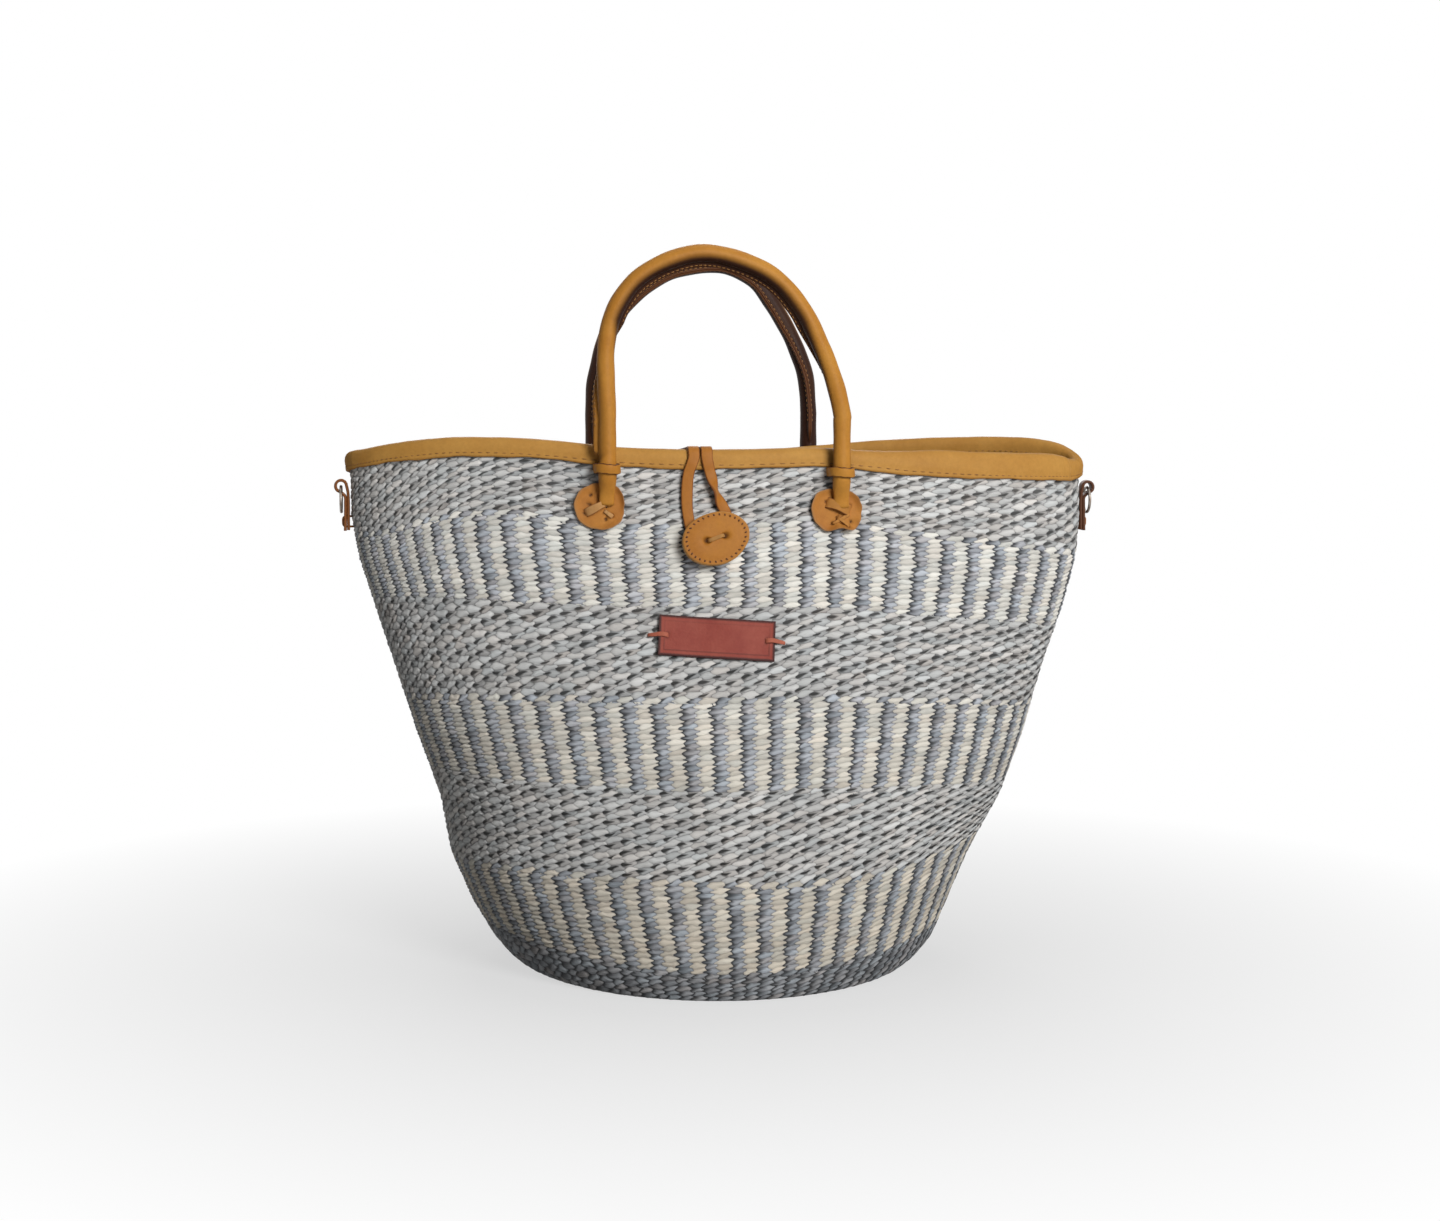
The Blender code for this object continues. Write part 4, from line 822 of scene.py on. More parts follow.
for side in (FRONT, BACK):
    word = FACE_WORDS[side]
    points, raw, shade, route, inward, across = sleeve(side)
    mesh = quad_mesh(word + "_handle_sleeve", points,
                     {"OFBake": bake_places(len(points) - 1, points.shape[1], 8, True)})
    mark(mesh, "edge", raw)
    mark(mesh, "shade", shade)
    legs = [word + "_" + END_WORDS[end] + "_handle_" + part
            for end in (LEFT, RIGHT) for part in ("bend", "end")]
    sleeve_piece = show(word + "_handle_sleeve", mesh, TAN_LEATHER, "basket", "tan_leather",
                        word + "_handle_cover", word + "_handle_core", *legs)
    sewn = route[:, 2] > SEAM_STITCH_FOOT
    line = route[sewn]
    spots = np.arange(1, len(line) - 3, 2)
    runs = []
    for face in (LEFT, RIGHT):
        for spot in spots:
            ends = np.linspace(spot, spot + 1.45, 5)
            steps = np.arange(len(line))
            path = np.stack([np.interp(ends, steps, line[:, axis]) for axis in range(3)], axis=1)
            dip = np.array((-0.0003, 0.00008, 0.0002, 0.00008, -0.0003))
            aside = across[sewn][spot] * face
            out = inward[sewn][spot] * (HANDLE_RADIUS + SEAM_DEPTH * 0.55)
            runs.append((path + out + aside * (0.0013 + dip)[:, None], np.tile(aside, (5, 1))))
    seam = thread_mesh(word + "_handle_stitches", np.stack([path for path, _ in runs]),
                       np.stack([aside for _, aside in runs]), 0.0003)
    seam_piece = show(word + "_handle_stitches", seam, BROWN_THREAD, "basket", "thread",
                      word + "_handle_cover")
    for piece in (sleeve_piece, seam_piece):
        piece.parent = None
        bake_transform(piece)

# Keepers. A short strap goes round each leg under the binding, through two slots in the weave,
# and is knotted inside, so it pulls the leg against the wall.
KEEPER_BEND = 0.0066
KEEPER_HALF_HEIGHT = 0.0029
KEEPER_HALF_THICKNESS = 0.0011
KEEPER_LIFT = 0.0012
KNOT_STAND = 0.0062
STRIP_OUTLINE = ((-1, -0.4), (-0.94, -0.85), (-0.78, -1), (0, -1.04), (0.78, -1), (0.94, -0.85), (1, -0.4),
                 (1, 0.4), (0.94, 0.85), (0.78, 1), (0, 1.04), (-0.78, 1), (-0.94, 0.85), (-1, 0.4))


def strip_net(path, across, half_width, half_thickness):
    """Net of points round a flat strip of leather along a path, closed at both ends."""
    path = np.asarray(path, float)
    tangent = unit(np.gradient(path, axis=0))
    across = np.asarray(across, float) * np.ones_like(path)
    across = unit(across - tangent * np.sum(across * tangent, axis=1, keepdims=True))
    normal = np.cross(tangent, across)
    wide = across * np.broadcast_to(half_width, len(path))[:, None]
    thick = normal * np.broadcast_to(half_thickness, len(path))[:, None]
    rows = np.stack([path + wide * aside + thick * out for aside, out in STRIP_OUTLINE], axis=1)
    ends = []
    for row, share in ((0, 0.0), (0, 0.8), (-1, 0.8), (-1, 0.0)):
        ends.append(path[row] + (rows[row] - path[row]) * share)
    points = np.concatenate([[ends[0], ends[1]], rows, [ends[2], ends[3]]])
    raw = np.tile([1.0 if abs(aside) > 0.9 else 0.0 for aside, _ in STRIP_OUTLINE], (len(points), 1))
    raw[:2] = 1.0
    raw[-2:] = 1.0
    return points, raw


def nets_mesh(name, nets):
    """One mesh of several closed nets, with their raw edges marked."""
    quads = []
    start = 0
    for points, _ in nets:
        quads.append(corners_of(*points.shape[:2], True).reshape(-1, 4) + start)
        start += points.size // 3
    points = np.concatenate([points.reshape(-1, 3) for points, _ in nets])
    mesh = quad_mesh(name, points, {}, quads=np.concatenate(quads))
    mark(mesh, "edge", np.concatenate([raw.ravel() for _, raw in nets]))
    return mesh


def show_strips(name, nets, hide, body, *nodes):
    """Puts strips of leather in the scene as one piece."""
    return show(name, nets_mesh(name, nets), hide, body, "tan_leather", *nodes)


for (side, end), leg in LEG_NAMES.items():
    name = leg + "_keeper"
    x = LEG_X[side, end]
    y = LEG_Y[side]
    z = KEEPER_Z[side, end] + KEEPER_LIFT
    wall_y = wall_frame(x, z, side)[0][1]
    inside = wall_y - side * KNOT_STAND
    corners = [(x - KEEPER_BEND + 0.001, inside, z), (x - KEEPER_BEND, wall_y - side * 0.002, z)]
    for step in range(9):
        angle = math.pi * step / 8
        corners.append((x - KEEPER_BEND * math.cos(angle), y + side * KEEPER_BEND * math.sin(angle),
                        z + 0.0004 * math.sin(2 * angle)))
    corners += [(x + KEEPER_BEND, wall_y - side * 0.002, z), (x + KEEPER_BEND - 0.001, inside, z)]
    path = soft_path([(x, inside, z), *corners, (x, inside, z)], 0.0009)
    round_leg = np.clip((side * (path[:, 1] - y)) / KEEPER_BEND, 0, 1)
    aside = 0.10 * np.sin(path[:, 0] * 900)
    across = np.stack([aside, side * 0.12 * round_leg, np.ones(len(path))], axis=1)
    high = KEEPER_HALF_HEIGHT * (1 + 0.05 * np.sin(path[:, 0] * 1500 + z * 900))
    keeper = strip_net(path, across, high, KEEPER_HALF_THICKNESS)
    show_strips(name, [keeper], TAN_LEATHER, "basket", name)

# Patches. Rounds cut by hand from thicker hide lie on the weave under each leg's end, with
# punched holes for the thongs. Their edges have dried into low waves.
PATCH_RADIUS = 0.0148
PATCH_THICKNESS = 0.0016
PATCH_STAND = 0.0005
HOLE_RADIUS = 0.0011
# Each patch's outline: degrees from its right side, and share of the radius
PATCH_SHAPES = {
    (FRONT, LEFT): ((0, 0.68), (35, 0.80), (63, 0.90), (109, 1.0), (147, 1.22), (180, 1.31),
                    (210, 1.20), (251, 0.95), (303, 0.82)),
    (FRONT, RIGHT): ((0, 0.85), (35, 0.86), (67, 0.83), (90, 0.79), (115, 0.93), (144, 1.20),
                     (180, 1.24), (212, 1.12), (238, 1.05), (256, 0.78), (272, 0.74), (286, 0.88),
                     (297, 0.98), (336, 0.90)),
    (BACK, LEFT): ((0, 1.02), (50, 0.96), (110, 1.03), (170, 0.97), (230, 1.04), (300, 0.96)),
    (BACK, RIGHT): ((0, 0.97), (60, 1.03), (130, 0.97), (200, 1.02), (260, 0.97), (320, 1.03)),
}
PATCH_HOLES = {
    (FRONT, LEFT): ((-0.0092, 0.0072), (-0.0101, 0.0016), (-0.0125, -0.0037), (0.0026, 0.0046),
                    (0.0032, -0.0052), (-0.0006, -0.0072)),
    (FRONT, RIGHT): ((-0.0085, 0.0048), (0.0055, 0.0022), (0.0062, -0.0070), (-0.0052, -0.0080),
                     (-0.0022, -0.0046), (0.0044, -0.0100)),
}
# The thongs of a leg: hole to hole, half its width, and how far it stands over the leg's end
LACES = {
    (FRONT, LEFT): ((-0.0125, -0.0037, 0.0030, 0.0042, 0.0024, 0.0056),
                    (-0.0010, -0.0024, 0.0032, -0.0056, 0.0013, 0.0034)),
    (FRONT, RIGHT): ((-0.0085, 0.0046, 0.0056, -0.0004, 0.0032, 0.0056),
                     (-0.0052, -0.0080, 0.0050, -0.0028, 0.0010, 0.0036),
                     (-0.0022, -0.0046, 0.0044, -0.0100, 0.0009, 0.0042)),
}
PLAIN_HOLES = ((-0.0072, -0.0060), (0.0072, 0.0060), (-0.0072, 0.0060), (0.0072, -0.0060))
PLAIN_LACES = ((-0.0072, -0.0060, 0.0072, 0.0060, 0.0016, 0.0056),
               (-0.0072, 0.0060, 0.0072, -0.0060, 0.0016, 0.0068))
THONG_HALF_THICKNESS = 0.0006

PATCH_LEATHER = leather("tan patch leather", (0.47, 0.20, 0.040), (0.34, 0.12, 0.022), 0.6,
                        (0.36, 0.18, 0.07), 1.5)
SUEDE_THONG = leather("suede thong", (0.56, 0.33, 0.14), (0.42, 0.185, 0.05), 0.75,
                      (0.30, 0.12, 0.035), 1.8)
TAN_THONG = leather("tan thong", (0.46, 0.21, 0.05), (0.36, 0.135, 0.028), 0.65, (0.20, 0.07, 0.02), 1.6)


def patch_mesh(name, side, end):
    centre_x = LEG_X[side, end]
    centre_z = PATCH_Z[side, end]
    punched = PATCH_HOLES.get((side, end), PLAIN_HOLES)
    angle = round_angles(72)
    turns, reaches = np.array(PATCH_SHAPES[side, end]).T
    outline = PATCH_RADIUS * np.interp(np.degrees(angle), turns, reaches, period=360)
    outline = (np.roll(outline, 1) + 2 * outline + np.roll(outline, -1)) / 4
    outline = outline * (1 + waviness(angle, (7, 1.0, 0.010), (13, centre_x * 90, 0.008)))
    shares = (0.03, 0.12, 0.22, 0.32, 0.42, 0.5, 0.58, 0.66, 0.74, 0.82, 0.9, 0.96, 0.99)
    rings = [(share, 1.0) for share in shares]
    rings += [(1.005, 0.75), (1.005, 0.25), (0.985, 0.0), (0.6, 0.0), (0.03, 0.0)]
    points = np.zeros((len(rings), 72, 3))
    raw = np.zeros((len(rings), 72))
    holes = np.zeros((len(rings), 72))
    for row, (share, top) in enumerate(rings):
        for column in range(72):
            across = share * outline[column] * math.cos(angle[column])
            up = share * outline[column] * math.sin(angle[column])
            curl = max(0.0, share - 0.72) ** 1.5 * 0.009
            curl *= 1 + math.sin(3 * angle[column] + centre_x * 90)
            if (side, end) == (FRONT, RIGHT):
                lower_side = max(0.0, -math.sin(angle[column] - 0.3))
                curl += max(0.0, share - 0.7) * 0.005 * lower_side * (1 + math.sin(9 * angle[column]))
            near = min(math.hypot(across - a, up - b) for a, b in punched)
            hole = math.exp(-(near / HOLE_RADIUS) ** 4)
            stand = PATCH_STAND + curl + PATCH_THICKNESS * top - 0.0011 * hole * top
            points[row, column] = on_wall(centre_x + across, centre_z + up, side, stand)
            raw[row, column] = max(0.0, share - 0.93) / 0.07
            holes[row, column] = hole * top
    mesh = quad_mesh(name, points, {}, flipped=side == FRONT)
    mark(mesh, "edge", np.clip(raw, 0, 1))
    mark(mesh, "hole", holes)
    return mesh


for (side, end), name in LEG_NAMES.items():
    patch = patch_mesh(name + "_patch", side, end)
    show(name + "_patch", patch, PATCH_LEATHER, "basket", "tan_leather", name + "_patch")
    nets = []
    centre, level, rising, out = wall_frame(LEG_X[side, end], PATCH_Z[side, end], side)
    for layer, lace in enumerate(LACES.get((side, end), PLAIN_LACES)):
        start = np.array(lace[:2])
        stop = np.array(lace[2:4])
        width, high = lace[4:]
        corners = []
        for share, stand in ((-1.0, -0.0015), (-0.97, 0.0012), (-0.86, 0.0032), (-0.45, high - 0.0006),
                             (0.0, high), (0.45, high - 0.0006), (0.86, 0.0032), (0.97, 0.0012),
                             (1.0, -0.0015)):
            spot = (start + stop) / 2 + (stop - start) / 2 * share
            corners.append(centre + level * spot[0] + rising * spot[1] + out * stand)
        path = soft_path(corners, 0.0008)
        run = unit(np.array(corners[-1]) - corners[0])
        half = width * (1 + 0.12 * np.sin(np.linspace(0, 9, len(path)) + layer * 2 + end))
        twist = 0.18 * np.sin(np.linspace(0, 5, len(path)) + layer + side)
        across = np.cross(out, run) + out * twist[:, None]
        nets.append(strip_net(path, across, half, 0.00062))
    hide = TAN_THONG if (side, end) == (FRONT, RIGHT) else SUEDE_THONG
    show_strips(name + "_lacing", nets, hide, "basket", name + "_lacing")

# Closure strap. One long strip, doubled: its two tails are tied to the back wall, its two strands
# cross the mouth, and the loop at the front is pulled over the button. The right strand twists.
STRAND_X = {LEFT: -0.0224, RIGHT: -0.0118}
STRAND_HALF_WIDTH = 0.0034
STRAP_HALF_THICKNESS = 0.0008
STRAND_STEP = 0.0011
STRAND_HEIGHT = 0.3173
STRAND_SAG = 0.0016
STRAND_OVER_EDGE = 0.0037
STRAP_LEATHER = leather("tan strap leather", (0.42, 0.165, 0.028), (0.34, 0.12, 0.018), 0.52,
                        (0.20, 0.068, 0.018))
RIM_FOOT = 0.3115
TWIST_HEIGHT = 0.2935
TWIST = 1.15


def rim_strand(x, side, rim_x=None, lean=0.0):
    """Corners of a strand from the middle of the mouth over the rim to below the binding."""
    mouth_x = x
    x = x if rim_x is None else rim_x
    turn = math.atan2(x / MOUTH_LEFT, math.sqrt(1 - (x / MOUTH_LEFT) ** 2))
    turn = turn if side == FRONT else math.pi - turn
    edge = float(edge_height(turn))
    top = edge + STRAND_OVER_EDGE
    rim = abs(float(wall(turn, 1.0)[1]))
    near_rim = STRAND_HEIGHT + (top - STRAND_HEIGHT) * 0.45 - STRAND_SAG * 0.7
    corners = [(mouth_x, 0.0, STRAND_HEIGHT - STRAND_SAG), ((x + mouth_x) / 2, side * 0.030, near_rim)]
    for out, drop in ((-0.0075, 0.0004), (-0.0018, 0.0), (0.0016, 0.0006), (0.0037, 0.0026),
                      (0.0043, 0.0056)):
        corners.append((x, side * (rim + out), top - drop))
    corners.append(tuple(on_wall(x + 0.4 * lean, edge - 0.0065, side, 0.0041)))
    corners.append(tuple(on_wall(x + lean, edge - 0.0115, side, 0.0034)))
    return corners


left_run = rim_strand(STRAND_X[LEFT], FRONT, -0.0195, -0.0030)
right_run = rim_strand(STRAND_X[RIGHT], FRONT, -0.0118, 0.0020)
behind = [on_wall(x, z, FRONT, stand) for x, z, stand in (
    (-0.0236, 0.2960, 0.0026), (-0.0236, 0.2830, 0.0017), (-0.0215, 0.2710, 0.0017),
    (-0.0165, 0.2615, 0.0017), (-0.0100, 0.2572, 0.0017), (-0.0045, 0.2580, 0.0017),
    (0.0000, 0.2640, 0.0017), (0.0014, 0.2725, 0.0018), (-0.0010, 0.2810, 0.0020),
    (-0.0046, 0.2880, 0.0029), (-0.0074, 0.2955, 0.0038))]
loop_path = soft_path([*left_run, *behind, *right_run[::-1]], STRAND_STEP)
loop_run = np.linspace(0, 1, len(loop_path))
tangent = unit(np.gradient(loop_path, axis=0))
out = np.zeros_like(loop_path)
for index, place in enumerate(loop_path):
    if place[2] < RIM_FOOT:
        out[index] = wall_frame(place[0], place[2], FRONT)[3]
    else:
        lean = np.clip((-place[1] - 0.0600) / 0.0065, 0, 1)
        out[index] = (0, -math.sin(lean * math.pi / 2), math.cos(lean * math.pi / 2))
across = np.cross(out, tangent)
on_right = loop_run > 0.5
twist = np.exp(-((loop_path[:, 2] - TWIST_HEIGHT) / 0.0062) ** 2) * TWIST
twist = np.where(on_right & (loop_path[:, 2] < 0.3085), twist, 0.0)
across = across * np.cos(twist)[:, None] + out * np.sin(twist)[:, None]
half = STRAND_HALF_WIDTH * (1 + 0.03 * np.sin(loop_run * 60))
loop_net = strip_net(loop_path, across, half, STRAP_HALF_THICKNESS)
loop_piece = show_strips("closure_loop_front", [loop_net], STRAP_LEATHER, "closure_loop",
                         "closure_loop", "closure_strap_left", "closure_strap_right")
loop_piece.parent = None
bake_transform(loop_piece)

nets = []
for end in (LEFT, RIGHT):
    x = STRAND_X[end]
    corners = rim_strand(x, BACK)
    corners += [on_wall(x, height, BACK, 0.0015) for height in (0.2930, 0.2860, 0.2815)]
    path = soft_path(corners, STRAND_STEP)
    half = STRAND_HALF_WIDTH * (1 + 0.03 * np.sin(np.arange(len(path)) * 0.2))
    nets.append(strip_net(path, (1, 0, 0), half, STRAP_HALF_THICKNESS))
strap_back = show_strips("closure_strap_back", nets, STRAP_LEATHER, "basket",
                         "closure_tail_left", "closure_tail_right")
strap_back.parent = None
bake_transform(strap_back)

TAIL_TIE_X = -0.0171
TAIL_TIE_Z = 0.2855
THONG_HALF_WIDTH = 0.0014
centre, level, rising, out = wall_frame(TAIL_TIE_X, TAIL_TIE_Z, BACK)
corners = [centre + level * run + out * stand for run, stand in (
    (-0.0108, -0.004), (-0.0108, 0.0005), (-0.0098, 0.0027), (-0.005, 0.0031), (0.0, 0.0027),
    (0.005, 0.0031), (0.0098, 0.0027), (0.0108, 0.0005), (0.0108, -0.004))]
tail_tie = strip_net(soft_path(corners, 0.0008), rising, THONG_HALF_WIDTH, THONG_HALF_THICKNESS)
show_strips("closure_tail_thong", [tail_tie], SUEDE_THONG, "basket", "closure_tail_tie")

# Button. Two ovals of leather with a stiff board between them, whipped together round the edge,
# and tied on by a thong through two punched holes. It leans a little, as it hangs.
BUTTON_CENTRE = np.array((-0.0078, -0.06945, 0.2645))
BUTTON_LONG = np.array((0.96593, 0.04983, 0.25398))
BUTTON_OUT = np.array((0.0, -0.98129, 0.19254))
BUTTON_UP = np.cross(BUTTON_OUT, BUTTON_LONG)
BUTTON_HALF_LENGTH = 0.0202
BUTTON_HALF_HEIGHT = 0.0157
BUTTON_HOLES = (-0.0054, 0.0054)
BUTTON_HOLE_RADIUS = 0.0019
BUTTON_FACE_STAND = 0.0100
BUTTON_WAVES = ((2, 1.0, 0.008), (3, 0.4, 0.010), (5, 2.0, 0.005))
# The button's section from the middle of its back to the middle of its face: share of its half
# size, stand, and how raw the leather is
BUTTON_ROWS = ((0.02, 0.0044, 0), (0.5, 0.0044, 0), (0.9, 0.0044, 0), (0.985, 0.0047, 1), (1.0, 0.0052, 1),
               (1.0, 0.0058, 1), (0.982, 0.0063, 1), (0.975, 0.0070, 1), (0.98, 0.0080, 1),
               (0.985, 0.0084, 1), (1.0, 0.0088, 0.7), (1.0, 0.0094, 0.6), (0.99, 0.0099, 0.5),
               (0.965, 0.0102, 0.2), (0.93, 0.0103, 0),
               (0.88, 0.0102, 0), (0.82, 0.0103, 0), (0.74, 0.0105, 0), (0.66, 0.0106, 0), (0.58, 0.0107, 0),
               (0.50, 0.0107, 0), (0.42, 0.0107, 0), (0.34, 0.0107, 0), (0.26, 0.0107, 0), (0.18, 0.0106, 0),
               (0.10, 0.0106, 0), (0.02, 0.0106, 0))


def on_button(across, up, stand):
    """Places on the button, along its length, its height and outward from its middle."""
    across, up, stand = (np.asarray(part)[..., None] for part in (across, up, stand))
    return BUTTON_CENTRE + BUTTON_LONG * across + BUTTON_UP * up + BUTTON_OUT * stand


angle = round_angles(96)
outline = 1 + waviness(angle, *BUTTON_WAVES, (11, 0.0, 0.003))
share, raw = np.array([(row[0], row[2]) for row in BUTTON_ROWS]).T
stand = np.array([row[1] for row in BUTTON_ROWS])[:, None] + np.zeros((1, 96))
across = share[:, None] * BUTTON_HALF_LENGTH * outline * np.cos(angle)
up = share[:, None] * BUTTON_HALF_HEIGHT * outline * np.sin(angle)
is_face = stand > BUTTON_FACE_STAND
near = np.minimum(*(np.hypot(across - hole, up) for hole in BUTTON_HOLES))
hole = np.exp(-(near / BUTTON_HOLE_RADIUS) ** 4) * is_face
stand = stand - 0.0022 * hole
button_mesh = quad_mesh("button_oval", on_button(across, up, stand), {})
mark(button_mesh, "edge", raw[:, None] * np.ones((1, 96)))
mark(button_mesh, "hole", hole)
BUTTON_LEATHER = leather("tan button leather", (0.42, 0.168, 0.022), (0.36, 0.132, 0.016), 0.48,
                         (0.50, 0.28, 0.10))
show("button_oval", button_mesh, BUTTON_LEATHER, "button", "tan_leather",
     "button_back", "button_core", "button_face")

TICK_COUNT = 33
TICK_RADIUS = 0.00046
ticks = []
for index in range(TICK_COUNT):
    turn = (index + 0.5) / TICK_COUNT * math.tau
    swell = 1 + waviness(turn, *BUTTON_WAVES)
    path = []
    for share, stand, lag in ((0.912, 0.0098, 0.016), (0.900, 0.01045, 0.010),
                              (0.882, 0.01055, 0.0), (0.864, 0.01045, -0.010),
                              (0.852, 0.0098, -0.016)):
        here = turn + lag
        path.append(on_button(share * swell * BUTTON_HALF_LENGTH * math.cos(here),
                              share * swell * BUTTON_HALF_HEIGHT * math.sin(here), stand))
    ticks.append(path)
tick_mesh = thread_mesh("button_stitches", np.array(ticks), np.tile(BUTTON_OUT, (TICK_COUNT, 5, 1)),
                        TICK_RADIUS)
DARK_THREAD = waxed_thread("dark waxed thread", (0.12, 0.045, 0.015))
show("button_stitches", tick_mesh, DARK_THREAD, "button", "thread", "button_face")

thong_corners = [on_button(across, 0.0004 * math.sin(across * 500), stand) for across, stand in (
    (-0.0049, 0.0078), (-0.0047, 0.0096), (-0.0038, 0.0110), (0.0, 0.0114), (0.0038, 0.0110),
    (0.0047, 0.0096), (0.0049, 0.0078))]
stem = soft_path([on_button(0, 0, stand) for stand in (0.0050, 0.0020, -0.0020, -0.0050)], 0.0008)
turn = np.linspace(0, 2.6 * math.pi, 40)
knot = on_button(0.0022 * np.cos(turn), 0.0020 * np.sin(turn), -0.0053 - 0.0006 * np.sin(2 * turn))
thong_nets = [strip_net(soft_path(thong_corners, 0.0007), BUTTON_UP, 0.00110, THONG_HALF_THICKNESS),
              strip_net(stem, BUTTON_LONG, 0.0017, 0.0016), strip_net(knot, BUTTON_OUT, 0.0011, 0.0007)]
DULL_THONG = leather("dull thong", (0.42, 0.22, 0.07), (0.32, 0.15, 0.04), 0.7)
show_strips("button_thong_tied", thong_nets, DULL_THONG, "button", "button_thong")

# Label. A bare plate of reddish leather with a burnt border, tied on by a thong at each end.
LABEL_CENTRE = (-0.0078, 0.2070)
LABEL_HALF_LENGTH = 0.0345
LABEL_HALF_WIDTH = 0.01175
LABEL_THICKNESS = 0.0015
LABEL_STAND = 0.0005
LABEL_TILT = math.radians(-4.0)
LABEL_TIE_ENDS = (0.0292, 0.0405)
LABEL_HOLE_RADIUS = 0.0013


def on_label(along, up, stand):
    """Place on the tilted label, which lies along the wall's curve."""
    x = LABEL_CENTRE[0] + along * math.cos(LABEL_TILT) - up * math.sin(LABEL_TILT)
    z = LABEL_CENTRE[1] + along * math.sin(LABEL_TILT) + up * math.cos(LABEL_TILT)
    return on_wall(x, z, FRONT, stand)


label_along = np.concatenate([[-1, -1], np.linspace(-0.995, 0.995, 60), [1, 1]]) * LABEL_HALF_LENGTH
shares = (-0.97, -0.9, -0.7, -0.5, -0.3, -0.1, 0.1, 0.3, 0.5, 0.7, 0.9, 0.97)
label_round = [(share, 1.0) for share in shares]
label_round += [(1.0, 0.8), (1.0, 0.2), (0.97, 0.0), (0.0, 0.0), (-0.97, 0.0), (-1.0, 0.2), (-1.0, 0.8)]
points = np.zeros((len(label_along), len(label_round), 3))
places = np.zeros((len(label_along), len(label_round), 2))
holes = np.zeros((len(label_along), len(label_round)))
for row, along in enumerate(label_along):
    closing = 0.0 if row in (0, len(label_along) - 1) else 1.0
    for column, (share, top) in enumerate(label_round):
        up = share * LABEL_HALF_WIDTH
        near = min(math.hypot(along - spot, up) for spot in (-LABEL_TIE_ENDS[0], LABEL_TIE_ENDS[0]))
        hole = math.exp(-(near / LABEL_HOLE_RADIUS) ** 4) * top
        swell = 0.0003 * math.sin(along * 160) * top + 0.0005 * abs(along / LABEL_HALF_LENGTH) ** 6
        stand = LABEL_STAND + swell + LABEL_THICKNESS * (0.5 + (top - 0.5) * closing) - 0.0008 * hole
        points[row, column] = on_label(along, up * (closing * 0.02 + 0.98), stand)
        places[row, column] = (along, up)
        holes[row, column] = hole
label_places = corner_places(np.concatenate([places, places[:, :1]], axis=1))
label_mesh = quad_mesh("label_bare", points, {"plate": label_places})
mark(label_mesh, "hole", holes)
LABEL_LEATHER, shader, point = new_finish("reddish label leather", 0.6, Specular_IOR_Level=0.2)
along, up, _ = point.new("UVMap", {"uv_map": "plate"}).parts()
from_end = LABEL_HALF_LENGTH - abs(along)
from_side = LABEL_HALF_WIDTH - abs(up)
from_edge = from_end.math("MINIMUM", from_end, from_side) + 0.0005 * point.noise(900, 3.0)
burnt = 1 - from_edge.between(0.0011, 0.0020)
line = 1 - abs(from_edge - 0.0036).between(0.00020, 0.0006)
line = line * (0.45 - 0.30 * up.between(-0.006, 0.004))
mottle = point.noise(60, 4.0, 0.6)
grain = point.noise(700, 3.0, 0.6)
hide = mottle.between(0.35, 0.65).blend((0.235, 0.040, 0.027), (0.30, 0.070, 0.048))
hide = hide.scaled(0.88 + 0.24 * grain)
hide = (burnt + line).clamped().blend(hide, (0.055, 0.018, 0.016))
# Painted shade in the two punched holes, which are only dents in the plate.
hide = point.marked("hole").blend(hide, (0.03, 0.01, 0.01))
lay_on(shader, Base_Color=hide, Roughness=0.52 + 0.2 * mottle,
       Normal=(grain - (burnt + line) * 0.8).bump(0.35, 0.0004))
show("label_bare", label_mesh, LABEL_LEATHER, "basket", "label_leather", "label_plate")

LABEL_THONG = leather("reddish thong", (0.46, 0.14, 0.085), (0.32, 0.085, 0.05), 0.6)
for end in (LEFT, RIGHT):
    name = "label_thong_" + END_WORDS[end]
    corners = []
    for share, stand in ((0.0, -0.001), (0.02, 0.0024), (0.16, 0.0032), (0.35, 0.0032), (0.6, 0.0026),
                         (0.85, 0.0018), (0.98, 0.0006), (1.0, -0.003)):
        along = end * (LABEL_TIE_ENDS[0] + (LABEL_TIE_ENDS[1] - LABEL_TIE_ENDS[0]) * share)
        corners.append(on_label(along, 0.0004 * math.sin(share * 5), stand))
    path = soft_path(corners, 0.0006)
    half = THONG_HALF_WIDTH * (1 - 0.45 * np.linspace(0, 1, len(path)) ** 2)
    tie = strip_net(path, (0, 0.2, 1), half, THONG_HALF_THICKNESS)
    show_strips(name, [tie], LABEL_THONG, "basket", "label_tie_" + END_WORDS[end])

# Ring tabs. A strip is folded round each ring, and its two tails are tied flat on the end wall.
RING_EYE = {LEFT: np.array((-0.22884, 0.0, 0.2950)), RIGHT: np.array((0.23859, 0.0, 0.2920))}
RING_TOP = {LEFT: 0.2948, RIGHT: 0.2918}
TAB_HALF_WIDTH = 0.0040
TAB_HALF_THICKNESS = 0.00085
TAB_EYE_RADIUS = 0.00335
TAB_TAIL = 0.0268
TAB_TIE_RISE = 0.0052
RING_RADIUS = 0.0078
RING_WIRE = 0.0009

DARK_LEATHER = leather("dark tab leather", (0.20, 0.075, 0.035), (0.13, 0.045, 0.022), 0.5,
                       (0.10, 0.04, 0.02))
TAB_LEATHER = {LEFT: STRAP_LEATHER, RIGHT: DARK_LEATHER}
RING_METAL, shader, point = new_finish("old ring steel", 0.34, Metallic=1.0)
tarnish = point.noise(350, 4.0, 0.65)
lay_on(shader, Base_Color=tarnish.between(0.35, 0.7).blend((0.17, 0.13, 0.10), (0.42, 0.38, 0.34)),
       Roughness=0.28 + 0.3 * tarnish, Normal=tarnish.bump(0.2, 0.0002))

